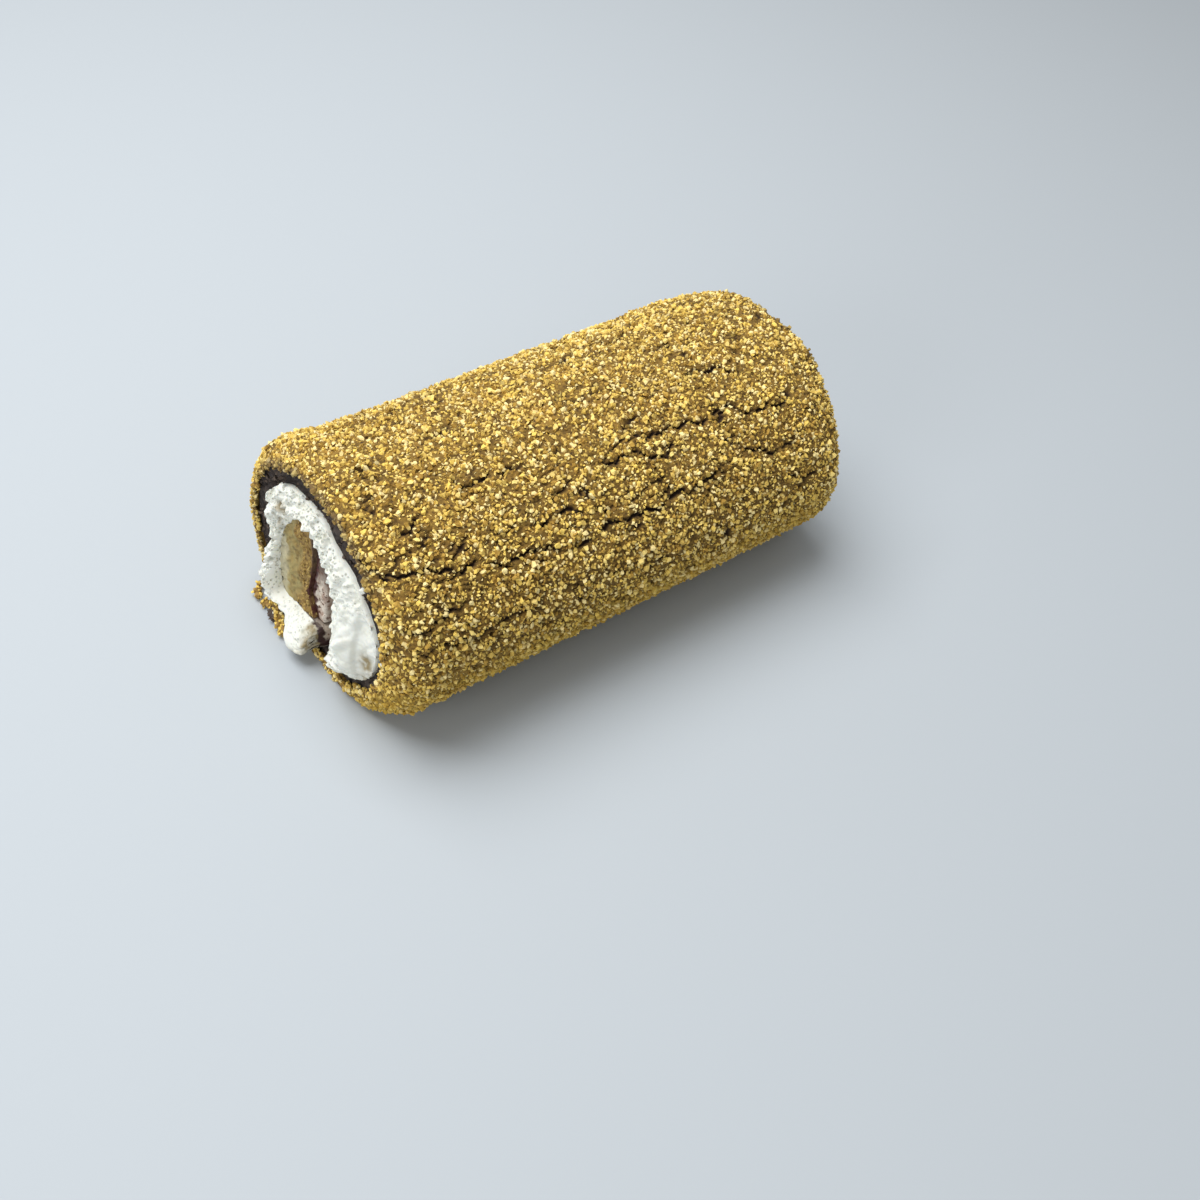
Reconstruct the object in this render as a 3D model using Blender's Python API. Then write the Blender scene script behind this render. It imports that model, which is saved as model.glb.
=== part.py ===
"""A swiss roll cake, cut at both ends, lying on its flat underside.

Five layers run the whole length of the roll: a thick coat of cake crumbs, a sheet of
chocolate sponge, whipped cream, a slab of golden sponge and a strip of red jam.

Frame: +X along the roll towards its far end, +Y to the left of a person who looks
along +X, +Z up. The origin is on the flat underside, at the middle of the length.
Sizes are in millimetres and become metres when a mesh is made.
"""

import math

import bmesh
import bpy
import numpy as np
from mathutils import Vector, noise

MM = 0.001
CAKE = "swiss_roll_cake"

# Driving dimensions of the whole roll
ROLL_WIDTH = 84.0
ROLL_LENGTH = 149.0
AXIS_HEIGHT = 30.2
CROWN_HEIGHT = 65.4
NEAR_CUT = -71.5
FAR_CUT = NEAR_CUT + ROLL_LENGTH

# The cut faces: how far the edge rounds over, and how far each face leans
# Shoulder radius at every thirty degrees, from the left side over the top
NEAR_SHOULDER = (5.5, 4.5, 5.0, 6.5, 8.0, 8.0, 8.0, 8.0, 8.0, 8.0, 8.0, 7.0)
FAR_SHOULDER = (14.0, 18.0, 21.5, 20.5, 17.0, 14.0, 9.5, 6.5, 6.0, 6.0, 8.0, 11.0)
LIP = 1.7
LEAN_ACROSS = -0.041
LEAN_UP = 0.066
# The far cut's upper edge is worn back, from one y to another and from one height to another
FAR_WORN = 3.0
WORN_FROM, WORN_TO = -14.0, 2.0
WORN_LOW, WORN_HIGH = 38.0, 56.0

# The rolled sheet of chocolate sponge, as it stands in the cut
SHEET_HALF_WIDTH = 32.2
SHEET_HALF_HEIGHT = 31.0
SHEET_MIDDLE = (2.2, 30.5)
SHEET_FLARE = 4.6
FLARE_DEPTH = 14.0
SHEET_BASE = 2.2
FLOOR_SOFTNESS = 3.0
# Sheet thickness at every thirty degrees, from the left side over the top
SHEET_THICKNESS = (9.6, 5.2, 5.8, 7.4, 10.6, 7.6, 3.6, 3.2, 3.8, 2.4, 2.6, 5.4)
SHEET_SET_BACK = 0.9

# The slab in the middle: points down its right side, and up its left side, as (y, z)
SLAB_RIGHT = ((5.0, 45.6), (1.4, 42.0), (0.0, 36.6), (0.0, 28.2), (0.7, 20.6), (1.0, 14.6), (4.6, 13.4))
SLAB_LEFT = ((4.6, 13.4), (12.0, 12.6), (20.0, 12.2), (21.3, 20.5), (20.2, 29.5), (17.0, 37.5),
             (12.0, 43.4), (8.0, 46.8), (5.0, 45.6))
JAM_SEAM = ((5.0, 45.6), (4.6, 37.0), (5.6, 28.2), (7.0, 21.5), (5.6, 16.0), (4.6, 13.4))
CORE_SET_BACK = 0.6
LUMP_SIZE = 5.0
LUMP_HEIGHT = 1.1
JAM_SET_BACK = 1.6

# The hollow beside the jam, where the cream has pulled away at a cut
HOLLOW_WIDTH = 5.8
HOLLOW_DEPTH = 16.0
HOLLOW_TOP = 33.0
HOLLOW_BASE = 11.0
HOLLOW_EDGE = 10.0
HOLLOW_INNER = 6.0
HOLLOW_SLOPE = 5.0

# The notch below the hollow, between the foot and the right arm
NOTCH_DEPTH = 9.0
NOTCH_FROM, NOTCH_TO = -5.2, -1.0
NOTCH_EDGE = 2.4
NOTCH_TOP = 17.0
NOTCH_FADE = 5.0

# Whipped cream that was pushed out of the cut: arms, a fold and two lobes of a foot
ARM_SWELL = 1.8
FOLD_SWELL = 3.0
FOLD_PLACE = (-13.0, 23.0)
FOLD_SPREAD = 9.0
NEAR_FOOT = 5.0
FAR_FOOT = 2.8
# Each lobe's middle as (y, z), its reach across and up, and its share of the foot
LOBES = (((22.0, 13.0), (6.0, 8.5), 0.72), ((5.5, 8.5), (7.2, 6.5), 1.0))
FOOT_RISE = 0.2
PUSH_FROM, PUSH_TO = 1.5, 7.5
FOOT_DROOP = 3.6
DROOP_FROM, DROOP_TO = 2.0, 12.0
DROOP_EDGE = 6.0
SPREAD = 1.6
SPREAD_FROM, SPREAD_TO = 14.0, 22.0
FOOT_CLEARANCE = 0.6

# The coat's crust that was crushed outwards below the foot
CRUSHED_FROM, CRUSHED_TO = 17.0, 33.0
CRUSHED_TOP = 12.0
CRUSHED_EDGE = 7.0
CRUSHED_SHARE = 0.7

# Cracks in the coat: from x, to x, and the clock angle at each end, in degrees
CRACKS = (
    (-73.0, -20.0, 129.0, 148.0), (-20.0, 34.0, 148.0, 146.0), (-62.0, -50.0, 117.0, 116.0),
    (-42.0, -20.0, 111.0, 111.0), (-29.0, -2.0, 132.0, 140.0), (-69.0, -48.0, 156.0, 150.0),
    (-68.0, -29.0, 165.0, 167.0), (8.0, 63.0, 117.0, 130.0), (-5.0, 24.0, 123.0, 130.0),
    (36.0, 58.0, 141.0, 147.0), (31.0, 54.0, 103.0, 107.0), (49.0, 66.0, 160.0, 165.0),
    (-52.0, -8.0, 62.0, 55.0), (2.0, 48.0, 72.0, 64.0), (-30.0, 28.0, 33.0, 41.0),
    (22.0, 62.0, 18.0, 24.0), (-66.0, -36.0, 22.0, 20.0),
)
CRACK_DEPTH = 1.5
CRACK_HALF_WIDTH = 1.9
CRACK_WANDER = 5.0
CRACK_WAVE = 11.0
CRACK_FADE = 6.0
CRAG_DEPTH = 1.7
CRAG_SIZE = 7.5
# Height over which the crags fade out towards the flat underside
SMOOTH_FOOT = 5.0

# Spacing of the solids
GAP = 0.3
COAT_SIDES = 76
SIDES = 60
RIGHT_STEPS = 24
SEAM_STEPS = 12
COAT_PITCH = 4.4

COLOURS = {
    "crumb_coat": (0.56, 0.36, 0.13),
    "chocolate_sponge": (0.035, 0.022, 0.02),
    "whipped_cream": (0.86, 0.85, 0.79),
    "golden_sponge": (0.43, 0.28, 0.10),
    "red_jam": (0.10, 0.022, 0.022),
}
ROUGHNESS = {
    "crumb_coat": 0.95,
    "chocolate_sponge": 0.85,
    "whipped_cream": 0.55,
    "golden_sponge": 0.9,
    "red_jam": 0.5,
}


def clear_scene():
    """Remove what the scene holds."""
    for thing in list(bpy.data.objects):
        bpy.data.objects.remove(thing, do_unlink=True)


def smooth(value):
    """Ease from 0 to 1."""
    value = min(max(value, 0.0), 1.0)
    return value * value * (3.0 - 2.0 * value)


def window(value, low, high, edge):
    """One between low and high, falling to nothing over an edge outside each."""
    return smooth((value - low + edge) / edge) * smooth((high + edge - value) / edge)


def rest_on(z, floor):
    """Lift a height softly so that it stays above a floor."""
    above = z - floor
    return floor + 0.5 * (above + math.hypot(above, FLOOR_SOFTNESS))


def round_the_clock(values, angle):
    """Read a value that is given at even steps round the roll, eased between the steps."""
    place = (angle / math.tau % 1.0) * len(values)
    step = int(place)
    share = smooth(place - step)
    return values[step % len(values)] * (1.0 - share) + values[(step + 1) % len(values)] * share


def curve_through(points, count):
    """Sample a smooth open curve through points at even steps, ends included."""
    points = [Vector(point) for point in points]
    padded = [2 * points[0] - points[1]] + points + [2 * points[-1] - points[-2]]
    fine = []
    for step in range(len(points) - 1):
        a, b, c, d = padded[step:step + 4]
        for part in range(20):
            t = part / 20
            fine.append(0.5 * (2 * b + (c - a) * t + (2 * a - 5 * b + 4 * c - d) * t * t
                               + (3 * b - a - 3 * c + d) * t ** 3))
    fine.append(points[-1])
    lengths = [0.0]
    for before, after in zip(fine, fine[1:]):
        lengths.append(lengths[-1] + (after - before).length)
    wanted = np.linspace(0.0, lengths[-1], count)
    columns = [np.interp(wanted, lengths, [point[axis] for point in fine]) for axis in (0, 1)]
    return list(zip(*columns))


def offset(outline, distance):
    """Move a closed outline outwards; it runs the way the clock angle grows."""
    moved = []
    for index, point in enumerate(outline):
        before = Vector(outline[index - 1])
        after = Vector(outline[(index + 1) % len(outline)])
        along = (after - before).normalized()
        moved.append((point[0] + along.y * distance, point[1] - along.x * distance))
    return moved


def flare(depth):
    """How far the sheet has widened at a depth behind a cut, from 0 to 1."""
    return smooth((depth - SHEET_SET_BACK) / (FLARE_DEPTH - SHEET_SET_BACK))


def shoulder(depth, radius):
    """How far the coat has rounded over at a depth behind a cut, from 0 to 1."""
    if depth >= radius:
        return 1.0
    return math.sqrt(1.0 - (1.0 - depth / radius) ** 2)


def sheet_outline(angle, depth, inset):
    """Point (y, z) on the chocolate sheet's outline, moved inwards by an inset."""
    across = SHEET_HALF_WIDTH + SHEET_FLARE * flare(depth) - inset
    up = SHEET_HALF_HEIGHT - inset
    y = SHEET_MIDDLE[0] + across * math.cos(angle)
    z = SHEET_MIDDLE[1] + up * math.sin(angle)
    return y, rest_on(z, SHEET_BASE + inset)


def cream_outline(angle, depth, inset):
    """Point on the outline of the cream, which fills the sheet."""
    thickness = round_the_clock(SHEET_THICKNESS, angle)
    return sheet_outline(angle, depth, thickness + inset)


def body_outline(angle):
    """Point on the coat's full outline, flat underneath."""
    y = 0.5 * ROLL_WIDTH * math.cos(angle)
    z = AXIS_HEIGHT + (CROWN_HEIGHT - AXIS_HEIGHT) * math.sin(angle)
    return y, max(z, 0.0)


def coat_outline(angle, depth, radii):
    """Point on the coat's outline at a depth behind a cut with a rounded shoulder."""
    share = shoulder(depth, round_the_clock(radii, angle))
    lip_y = SHEET_MIDDLE[0] + (SHEET_HALF_WIDTH + LIP) * math.cos(angle)
    lip_z = SHEET_MIDDLE[1] + (SHEET_HALF_HEIGHT + LIP) * math.sin(angle)
    full_y, full_z = body_outline(angle)
    y = lip_y + (full_y - lip_y) * share
    z = lip_z + (full_z - lip_z) * share
    return y, max(z, 0.0)


def foot_share(y, z):
    """How much of the foot's reach the cream has at a place on the cut."""
    share = 0.0
    for middle, reach, height in LOBES:
        away = math.hypot((y - middle[0]) / reach[0], (z - middle[1]) / reach[1])
        share += height * math.exp(-away * away)
    return share


def crushed_share(y, z):
    """How far the crushed crust comes out below the cream's foot, as a share of it."""
    return (CRUSHED_SHARE * window(y, CRUSHED_FROM, CRUSHED_TO, CRUSHED_EDGE)
            * smooth((CRUSHED_TOP - z) / CRUSHED_TOP))


def notch_share(y, z):
    """How much of the notch's depth a place on the cut has."""
    return (window(y, NOTCH_FROM, NOTCH_TO, NOTCH_EDGE)
            * smooth((NOTCH_TOP - z) / NOTCH_FADE))


def near_cut(y, z):
    """Place along the roll of the near cut, for every layer."""
    lean = LEAN_ACROSS * y + LEAN_UP * (z - AXIS_HEIGHT)
    return NEAR_CUT + lean - NEAR_FOOT * crushed_share(y, z)


def far_cut(y, z):
    """Place along the roll of the far cut, for every layer."""
    lean = LEAN_ACROSS * y + LEAN_UP * (z - AXIS_HEIGHT)
    worn = smooth((y - WORN_FROM) / (WORN_TO - WORN_FROM)) * smooth((z - WORN_LOW) / (WORN_HIGH - WORN_LOW))
    return FAR_CUT - 0.5 * lean - FAR_WORN * worn + FAR_FOOT * crushed_share(y, z)


def along(y, z, share):
    """Place along the roll at a share of its length, between the two cuts."""
    return near_cut(y, z) * (1.0 - share) + far_cut(y, z) * share


def crack_angle(crack, x):
    """Clock angle of a crack's wandering line at a place along the roll."""
    start, end, first, last = crack
    share = (x - start) / (end - start)
    wander = noise.noise(Vector((x / CRACK_WAVE, first, 0.0))) * CRACK_WANDER
    return first + (last - first) * share + wander


def crack_depth(x, angle):
    """Depth of the deepest crack at a place on the coat."""
    deepest = 0.0
    for crack in CRACKS:
        inside = min(x - crack[0], crack[1] - x)
        if inside <= 0.0:
            continue
        away = math.radians(math.degrees(angle) - crack_angle(crack, x)) * 0.5 * ROLL_WIDTH
        share = smooth(inside / CRACK_FADE) * math.exp(-(away / CRACK_HALF_WIDTH) ** 2)
        deepest = max(deepest, share)
    return CRACK_DEPTH * deepest


def crags(x, y, z):
    """Depth of the coat's lumps and dips at a place, never above its outline."""
    lump = noise.noise(Vector((x, y, z)) / CRAG_SIZE)
    grain = noise.noise(Vector((x, y, z + 50.0)) / (0.45 * CRAG_SIZE))
    return CRAG_DEPTH * (0.5 - 0.35 * lump - 0.3 * grain)


def skin(rings, name, close=True):
    """Join equal rings of points into a tube of quads; closed, it is a hollow ring."""
    shape = bmesh.new()
    loops = [[shape.verts.new(Vector(point) * MM) for point in ring] for ring in rings]
    pairs = list(zip(loops, loops[1:]))
    if close:
        pairs.append((loops[-1], loops[0]))
    for first, second in pairs:
        for index in range(len(first)):
            after = (index + 1) % len(first)
            shape.faces.new((first[index], first[after], second[after], second[index]))
    if not close:
        shape.faces.new(reversed(loops[0]))
        shape.faces.new(loops[-1])
    bmesh.ops.triangulate(shape, faces=shape.faces[:])
    bmesh.ops.recalc_face_normals(shape, faces=shape.faces[:])
    mesh = bpy.data.meshes.new(name)
    shape.to_mesh(mesh)
    shape.free()
    mesh.shade_smooth()
    mesh.set_sharp_from_angle(angle=math.radians(50.0))
    return mesh


def finish(name):
    """Material with a layer's own colour."""
    material = bpy.data.materials.new(name)
    material.use_nodes = True
    surface = material.node_tree.nodes["Principled BSDF"]
    surface.inputs["Base Color"].default_value = (*COLOURS[name], 1.0)
    surface.inputs["Roughness"].default_value = ROUGHNESS[name]
    surface.inputs["Metallic"].default_value = 0.0
    material.diffuse_color = (*COLOURS[name], 1.0)
    return material


def add_layer(name, mesh, collection):
    """Put a layer's mesh in the scene under the cake's collection."""
    layer = bpy.data.objects.new(name, mesh)
    layer.data.materials.append(finish(name))
    collection.objects.link(layer)
    return layer


def clock(sides):
    """Even angles once round the roll, from its crown; the left side is at nought."""
    return [0.25 * math.tau + math.tau * side / sides for side in range(sides)]


def inner_stations():
    """Depth behind the nearer cut, and share of the length, for the hidden faces."""
    depths = (0.0, SHEET_SET_BACK, 0.5 * FLARE_DEPTH, FLARE_DEPTH)
    near = [(depth, depth / ROLL_LENGTH) for depth in depths]
    far = [(depth, 1.0 - depth / ROLL_LENGTH) for depth in reversed(depths)]
    return near + far


def coat_stations():
    """Depth, shoulder radii and share of the length for each ring of the coat."""
    near = [share * max(NEAR_SHOULDER) for share in (0.0, 0.08, 0.3, 0.62, 1.0)]
    far = [share * max(FAR_SHOULDER) for share in (1.0, 0.7, 0.42, 0.2, 0.06, 0.0)]
    straight = ROLL_LENGTH - near[-1] - far[0]
    steps = round(straight / COAT_PITCH)
    stations = [(depth, NEAR_SHOULDER, depth / ROLL_LENGTH) for depth in near]
    for step in range(1, steps):
        depth = near[-1] + straight * step / steps
        stations.append((depth, NEAR_SHOULDER, depth / ROLL_LENGTH))
    stations += [(depth, FAR_SHOULDER, 1.0 - depth / ROLL_LENGTH) for depth in far]
    return stations


def coat_ring(depth, radii, share):
    """One ring of the coat's craggy outside."""
    ring = []
    for angle in clock(COAT_SIDES):
        y, z = coat_outline(angle, depth, radii)
        x = along(y, z, share)
        if z > 0.0:
            rounded = shoulder(depth, round_the_clock(radii, angle))
            sink = crags(x, y, z) * rounded + crack_depth(x, angle)
            sink *= smooth(z / SMOOTH_FOOT)
            y -= sink * math.cos(angle)
            z = max(z - sink * math.sin(angle), 0.0)
        ring.append((x, y, z))
    return ring


def make_coat(collection):
    """The crumb coat: a craggy tube with a flat underside and rounded shoulders."""
    outside = [coat_ring(*station) for station in coat_stations()]
    inside = []
    for depth, share in reversed(inner_stations()):
        outline = [sheet_outline(angle, depth, -0.5 * GAP) for angle in clock(COAT_SIDES)]
        inside.append([(along(y, z, share), y, z) for y, z in outline])
    return add_layer("crumb_coat", skin(outside + inside, "crumb_coat"), collection)


def sheet_ring(outline_of, depth, share, inset):
    """One ring of the sheet's outer or inner skin."""
    outline = [outline_of(angle, depth, inset) for angle in clock(SIDES)]
    return [(along(y, z, share), y, z) for y, z in outline]


def make_sheet(collection):
    """The chocolate sponge: a rolled sheet, thicker on the left and over the top."""
    stations = inner_stations()[1:-1]
    rings = [sheet_ring(sheet_outline, *station, 0.5 * GAP) for station in stations]
    rings += [sheet_ring(cream_outline, *station, -0.5 * GAP) for station in reversed(stations)]
    return add_layer("chocolate_sponge", skin(rings, "chocolate_sponge"), collection)


def slab_sides():
    """The slab's right side from top to bottom, and its left side from bottom to top."""
    right = curve_through(SLAB_RIGHT, RIGHT_STEPS + 1)
    left = curve_through(SLAB_LEFT, SIDES - RIGHT_STEPS + 1)
    return right, left


def slab_outline():
    """The whole slab, jam and golden sponge together, once round from its top."""
    right, left = slab_sides()
    return right[:-1] + left[:-1]


def hollow_reach(y, z, depth):
    """How far the cream stands back from the slab's right side at a depth."""
    right_side = smooth((HOLLOW_INNER - y) / HOLLOW_SLOPE)
    between = window(z, HOLLOW_BASE, HOLLOW_TOP, HOLLOW_EDGE)
    return HOLLOW_WIDTH * right_side * between * (1.0 - smooth(depth / HOLLOW_DEPTH))


def hole_outline(depth):
    """Outline of the hole in the cream at a depth: the slab, and the hollow beside it."""
    around = []
    for y, z in offset(slab_outline(), 0.5 * GAP):
        around.append((y - hollow_reach(y, z, depth), z))
    return around


def cream_reach(y, z, share, foot):
    """How far the cream stands out of a cut at a share of the way in to the slab."""
    swell = ARM_SWELL * math.sin(math.pi * share)
    away = math.hypot(y - FOLD_PLACE[0], 0.7 * (z - FOLD_PLACE[1])) / FOLD_SPREAD
    fold = FOLD_SWELL * math.exp(-away * away) * math.sin(math.pi * share)
    extra = foot * max(foot_share(y, z) - crushed_share(y, z), 0.0)
    rim = smooth(share / FOOT_RISE) * smooth((1.0 - share) / FOOT_RISE)
    notch = notch_share(y, z)
    return (swell + fold + extra * rim) * (1.0 - notch) - NOTCH_DEPTH * notch


def cream_face(share, near):
    """One ring of the cream's face, at a share of the way in from the sheet."""
    rim_points = [cream_outline(angle, 0.0, 0.5 * GAP) for angle in clock(SIDES)]
    foot = NEAR_FOOT if near else FAR_FOOT
    ring = []
    for rim, inner in zip(rim_points, hole_outline(0.0)):
        y = rim[0] + (inner[0] - rim[0]) * share
        z = rim[1] + (inner[1] - rim[1]) * share
        out = cream_reach(y, z, share, foot)
        x = near_cut(y, z) - out if near else far_cut(y, z) + out
        pushed = smooth((out - PUSH_FROM) / (PUSH_TO - PUSH_FROM))
        droop = window(y, DROOP_FROM, DROOP_TO, DROOP_EDGE) * pushed
        spread = smooth((y - SPREAD_FROM) / (SPREAD_TO - SPREAD_FROM)) * pushed
        ring.append((x, y + SPREAD * spread, max(z - FOOT_DROOP * droop, FOOT_CLEARANCE)))
    return ring


def notched_ring(outline, depth, share):
    """A ring of the cream behind a cut, moved further in where the notch is."""
    left = max(1.0 - depth / HOLLOW_DEPTH, 0.0)
    ring = []
    for y, z in outline:
        notch = NOTCH_DEPTH * notch_share(y, z) * left
        inwards = notch if share < 0.5 else -notch
        ring.append((along(y, z, share) + inwards, y, z))
    return ring


def make_cream(collection):
    """The whipped cream round the slab, with swollen arms and a pushed-out foot."""
    rings = []
    hollow_depths = (0.0, 0.33 * HOLLOW_DEPTH, 0.66 * HOLLOW_DEPTH, HOLLOW_DEPTH)
    face_shares = (0.05, 0.12, 0.24, 0.36, 0.5, 0.64, 0.76, 0.88, 0.96)
    for depth, share in inner_stations():
        outline = [cream_outline(angle, depth, 0.5 * GAP) for angle in clock(SIDES)]
        rings.append(notched_ring(outline, depth, share))
    rings += [cream_face(share, False) for share in face_shares]
    hole_stations = [(depth, 1.0 - depth / ROLL_LENGTH) for depth in hollow_depths]
    hole_stations += [(depth, depth / ROLL_LENGTH) for depth in reversed(hollow_depths)]
    for depth, share in hole_stations:
        rings.append(notched_ring(hole_outline(depth), depth, share))
    rings += [cream_face(share, True) for share in reversed(face_shares)]
    return add_layer("whipped_cream", skin(rings, "whipped_cream"), collection)


def strip_ring(outline, share, set_back):
    """A slab layer's outline at a share of the length, set back behind a cut."""
    inwards = set_back if share < 0.5 else -set_back
    return [(along(y, z, share) + inwards, y, z) for y, z in outline]


def crumbly_caps(outline, share, set_back):
    """Rings that close a slab layer's end with a lumpy face, from its rim inwards."""
    middle = np.mean(outline, axis=0)
    rings = []
    for size in (0.84, 0.55, 0.22):
        inner = [(middle[0] + (y - middle[0]) * size, middle[1] + (z - middle[1]) * size)
                 for y, z in outline]
        ring = []
        for x, y, z in strip_ring(inner, share, set_back):
            lump = noise.noise(Vector((x, y, z)) / LUMP_SIZE)
            ring.append((x + LUMP_HEIGHT * lump, y, z))
        rings.append(ring)
    return rings


def make_core(collection):
    """The slab of golden sponge, with lumpy cut faces."""
    seam = curve_through(JAM_SEAM, SEAM_STEPS)
    outline = offset(slab_sides()[1][:-1] + seam[:-1], -0.5 * GAP)
    rings = crumbly_caps(outline, 0.0, CORE_SET_BACK)[::-1]
    rings.append(strip_ring(outline, 0.0, CORE_SET_BACK))
    rings.append(strip_ring(outline, 1.0, CORE_SET_BACK))
    rings += crumbly_caps(outline, 1.0, CORE_SET_BACK)
    return add_layer("golden_sponge", skin(rings, "golden_sponge", close=False), collection)


def make_jam(collection):
    """The strip of jam down the slab's right side."""
    seam = curve_through(JAM_SEAM, SEAM_STEPS)
    outline = offset(slab_sides()[0][:-1] + seam[:0:-1], -0.5 * GAP)
    rings = [strip_ring(outline, share, JAM_SET_BACK) for share in (0.0, 1.0)]
    return add_layer("red_jam", skin(rings, "red_jam", close=False), collection)


def main():
    """Build the cake, from its coat to the jam."""
    clear_scene()
    collection = bpy.data.collections.new(CAKE)
    bpy.context.scene.collection.children.link(collection)
    make_coat(collection)
    make_sheet(collection)
    make_cream(collection)
    make_core(collection)
    make_jam(collection)


main()
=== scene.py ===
"""The looks of a crumb-coated swiss roll that lies on its flat underside.

Sizes are in millimetres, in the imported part's own frame, and become metres when a mesh
is made. A clock angle is nought at the roll's left side and a quarter turn at its crown.
"""

import logging
import math
from dataclasses import dataclass
from enum import Enum

import bmesh
import bpy
import numpy as np
from mathutils import Matrix, Vector, noise


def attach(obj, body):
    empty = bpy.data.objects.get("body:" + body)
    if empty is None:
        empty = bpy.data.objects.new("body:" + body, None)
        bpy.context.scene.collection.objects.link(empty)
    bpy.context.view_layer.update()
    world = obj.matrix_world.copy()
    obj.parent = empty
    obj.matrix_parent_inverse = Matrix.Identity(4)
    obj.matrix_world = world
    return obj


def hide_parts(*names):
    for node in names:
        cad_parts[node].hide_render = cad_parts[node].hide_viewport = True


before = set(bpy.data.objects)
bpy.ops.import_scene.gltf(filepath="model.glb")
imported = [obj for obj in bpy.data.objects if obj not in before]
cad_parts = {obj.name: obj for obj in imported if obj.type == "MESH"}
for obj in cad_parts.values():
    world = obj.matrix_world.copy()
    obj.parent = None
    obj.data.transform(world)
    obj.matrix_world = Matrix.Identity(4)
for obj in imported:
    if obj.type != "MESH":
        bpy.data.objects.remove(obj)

LOG = logging.getLogger("swiss_roll")
MM = 0.001
BODY = "root"

Array = np.ndarray
Colour = tuple[float, float, float]
Point = tuple[float, float]
Place = tuple[float, float, float]
Blob = tuple[float, float, float, float]
Outline = tuple[Array, Array]
Socket = bpy.types.NodeSocket


def smooth(value: Array | float) -> Array:
    """Ease from 0 to 1 as a value goes from 0 to 1."""
    value = np.clip(value, 0.0, 1.0)
    return value * value * (3.0 - 2.0 * value)


def window(value: Array | float, low: float, high: float, edge: float) -> Array:
    """One between low and high, falling to nothing over an edge outside each."""
    return smooth((value - low + edge) / edge) * smooth((high + edge - value) / edge)


def spot(y: Array, z: Array, middle: Point, reach: Point) -> Array:
    """A soft oval spot on the cut: one in its middle, falling with its reach along y and z."""
    away = np.hypot((y - middle[0]) / reach[0], (z - middle[1]) / reach[1])
    return np.exp(-away * away)


def lumps(points: Array, size: float, shift: float = 0.0) -> Array:
    """Smooth noise from about -1 to 1, with lumps of a given size.

    Args:
        points: Places, three numbers each.
        size: Size of a lump.
        shift: Moves the pattern, so that two readings differ.

    Returns:
        One value for each point.
    """
    scaled = points.reshape(-1, 3) / size + np.array([0.0, 0.0, shift])
    values = [noise.noise(Vector(place)) for place in scaled]
    return np.array(values).reshape(points.shape[:-1])


def pits(points: Array, spacing: float, width: float) -> Array:
    """Round pits strewn through space, one near each cell's middle.

    Args:
        points: Places, three numbers each.
        spacing: Size of a cell.
        width: Radius of a pit, as a share of the spacing.

    Returns:
        Depth of the pit at each point, from 0 to 1.
    """
    scaled = points.reshape(-1, 3) / spacing
    nearest = [noise.voronoi(Vector(place))[0][0] for place in scaled]
    return smooth(1.0 - np.array(nearest) / width).reshape(points.shape[:-1])


def curve_through(points: tuple[Point, ...], count: int) -> Array:
    """Sample a smooth open curve through points at even steps, ends included.

    Args:
        points: The points that the curve passes.
        count: How many samples to take.

    Returns:
        The samples, one (y, z) in each row.
    """
    given = np.array(points)
    padded = np.vstack([2 * given[0] - given[1], given, 2 * given[-1] - given[-2]])
    t = np.linspace(0.0, 1.0, 40, endpoint=False)[:, None]
    stretches = []
    for step in range(len(given) - 1):
        a, b, c, d = padded[step:step + 4]
        stretches.append(0.5 * (2 * b + (c - a) * t + (2 * a - 5 * b + 4 * c - d) * t ** 2
                                + (3 * b - a - 3 * c + d) * t ** 3))
    fine = np.vstack(stretches + [given[-1:]])
    lengths = np.concatenate([[0.0], np.cumsum(np.linalg.norm(np.diff(fine, axis=0), axis=1))])
    wanted = np.linspace(0.0, lengths[-1], count)
    return np.stack([np.interp(wanted, lengths, fine[:, axis]) for axis in (0, 1)], axis=1)


def offset(outline: Array, distance: float) -> Array:
    """Move a closed outline outwards; it runs the way the clock angle grows.

    Args:
        outline: Rows of (y, z).
        distance: How far to move it.

    Returns:
        The moved outline.
    """
    tangent = np.roll(outline, -1, axis=0) - np.roll(outline, 1, axis=0)
    tangent /= np.linalg.norm(tangent, axis=1, keepdims=True)
    return outline + distance * np.stack([tangent[:, 1], -tangent[:, 0]], axis=1)


def round_the_clock(values: tuple[float, ...], angle: Array) -> Array:
    """Read values given at even steps round the roll, eased between the steps.

    Args:
        values: One value for each step, from the left side over the top.
        angle: Clock angles to read at.

    Returns:
        The value at each angle.
    """
    table = np.array(values)
    place = (angle / math.tau % 1.0) * len(table)
    step = np.floor(place).astype(int)
    share = smooth(place - step)
    return table[step % len(table)] * (1.0 - share) + table[(step + 1) % len(table)] * share


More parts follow.
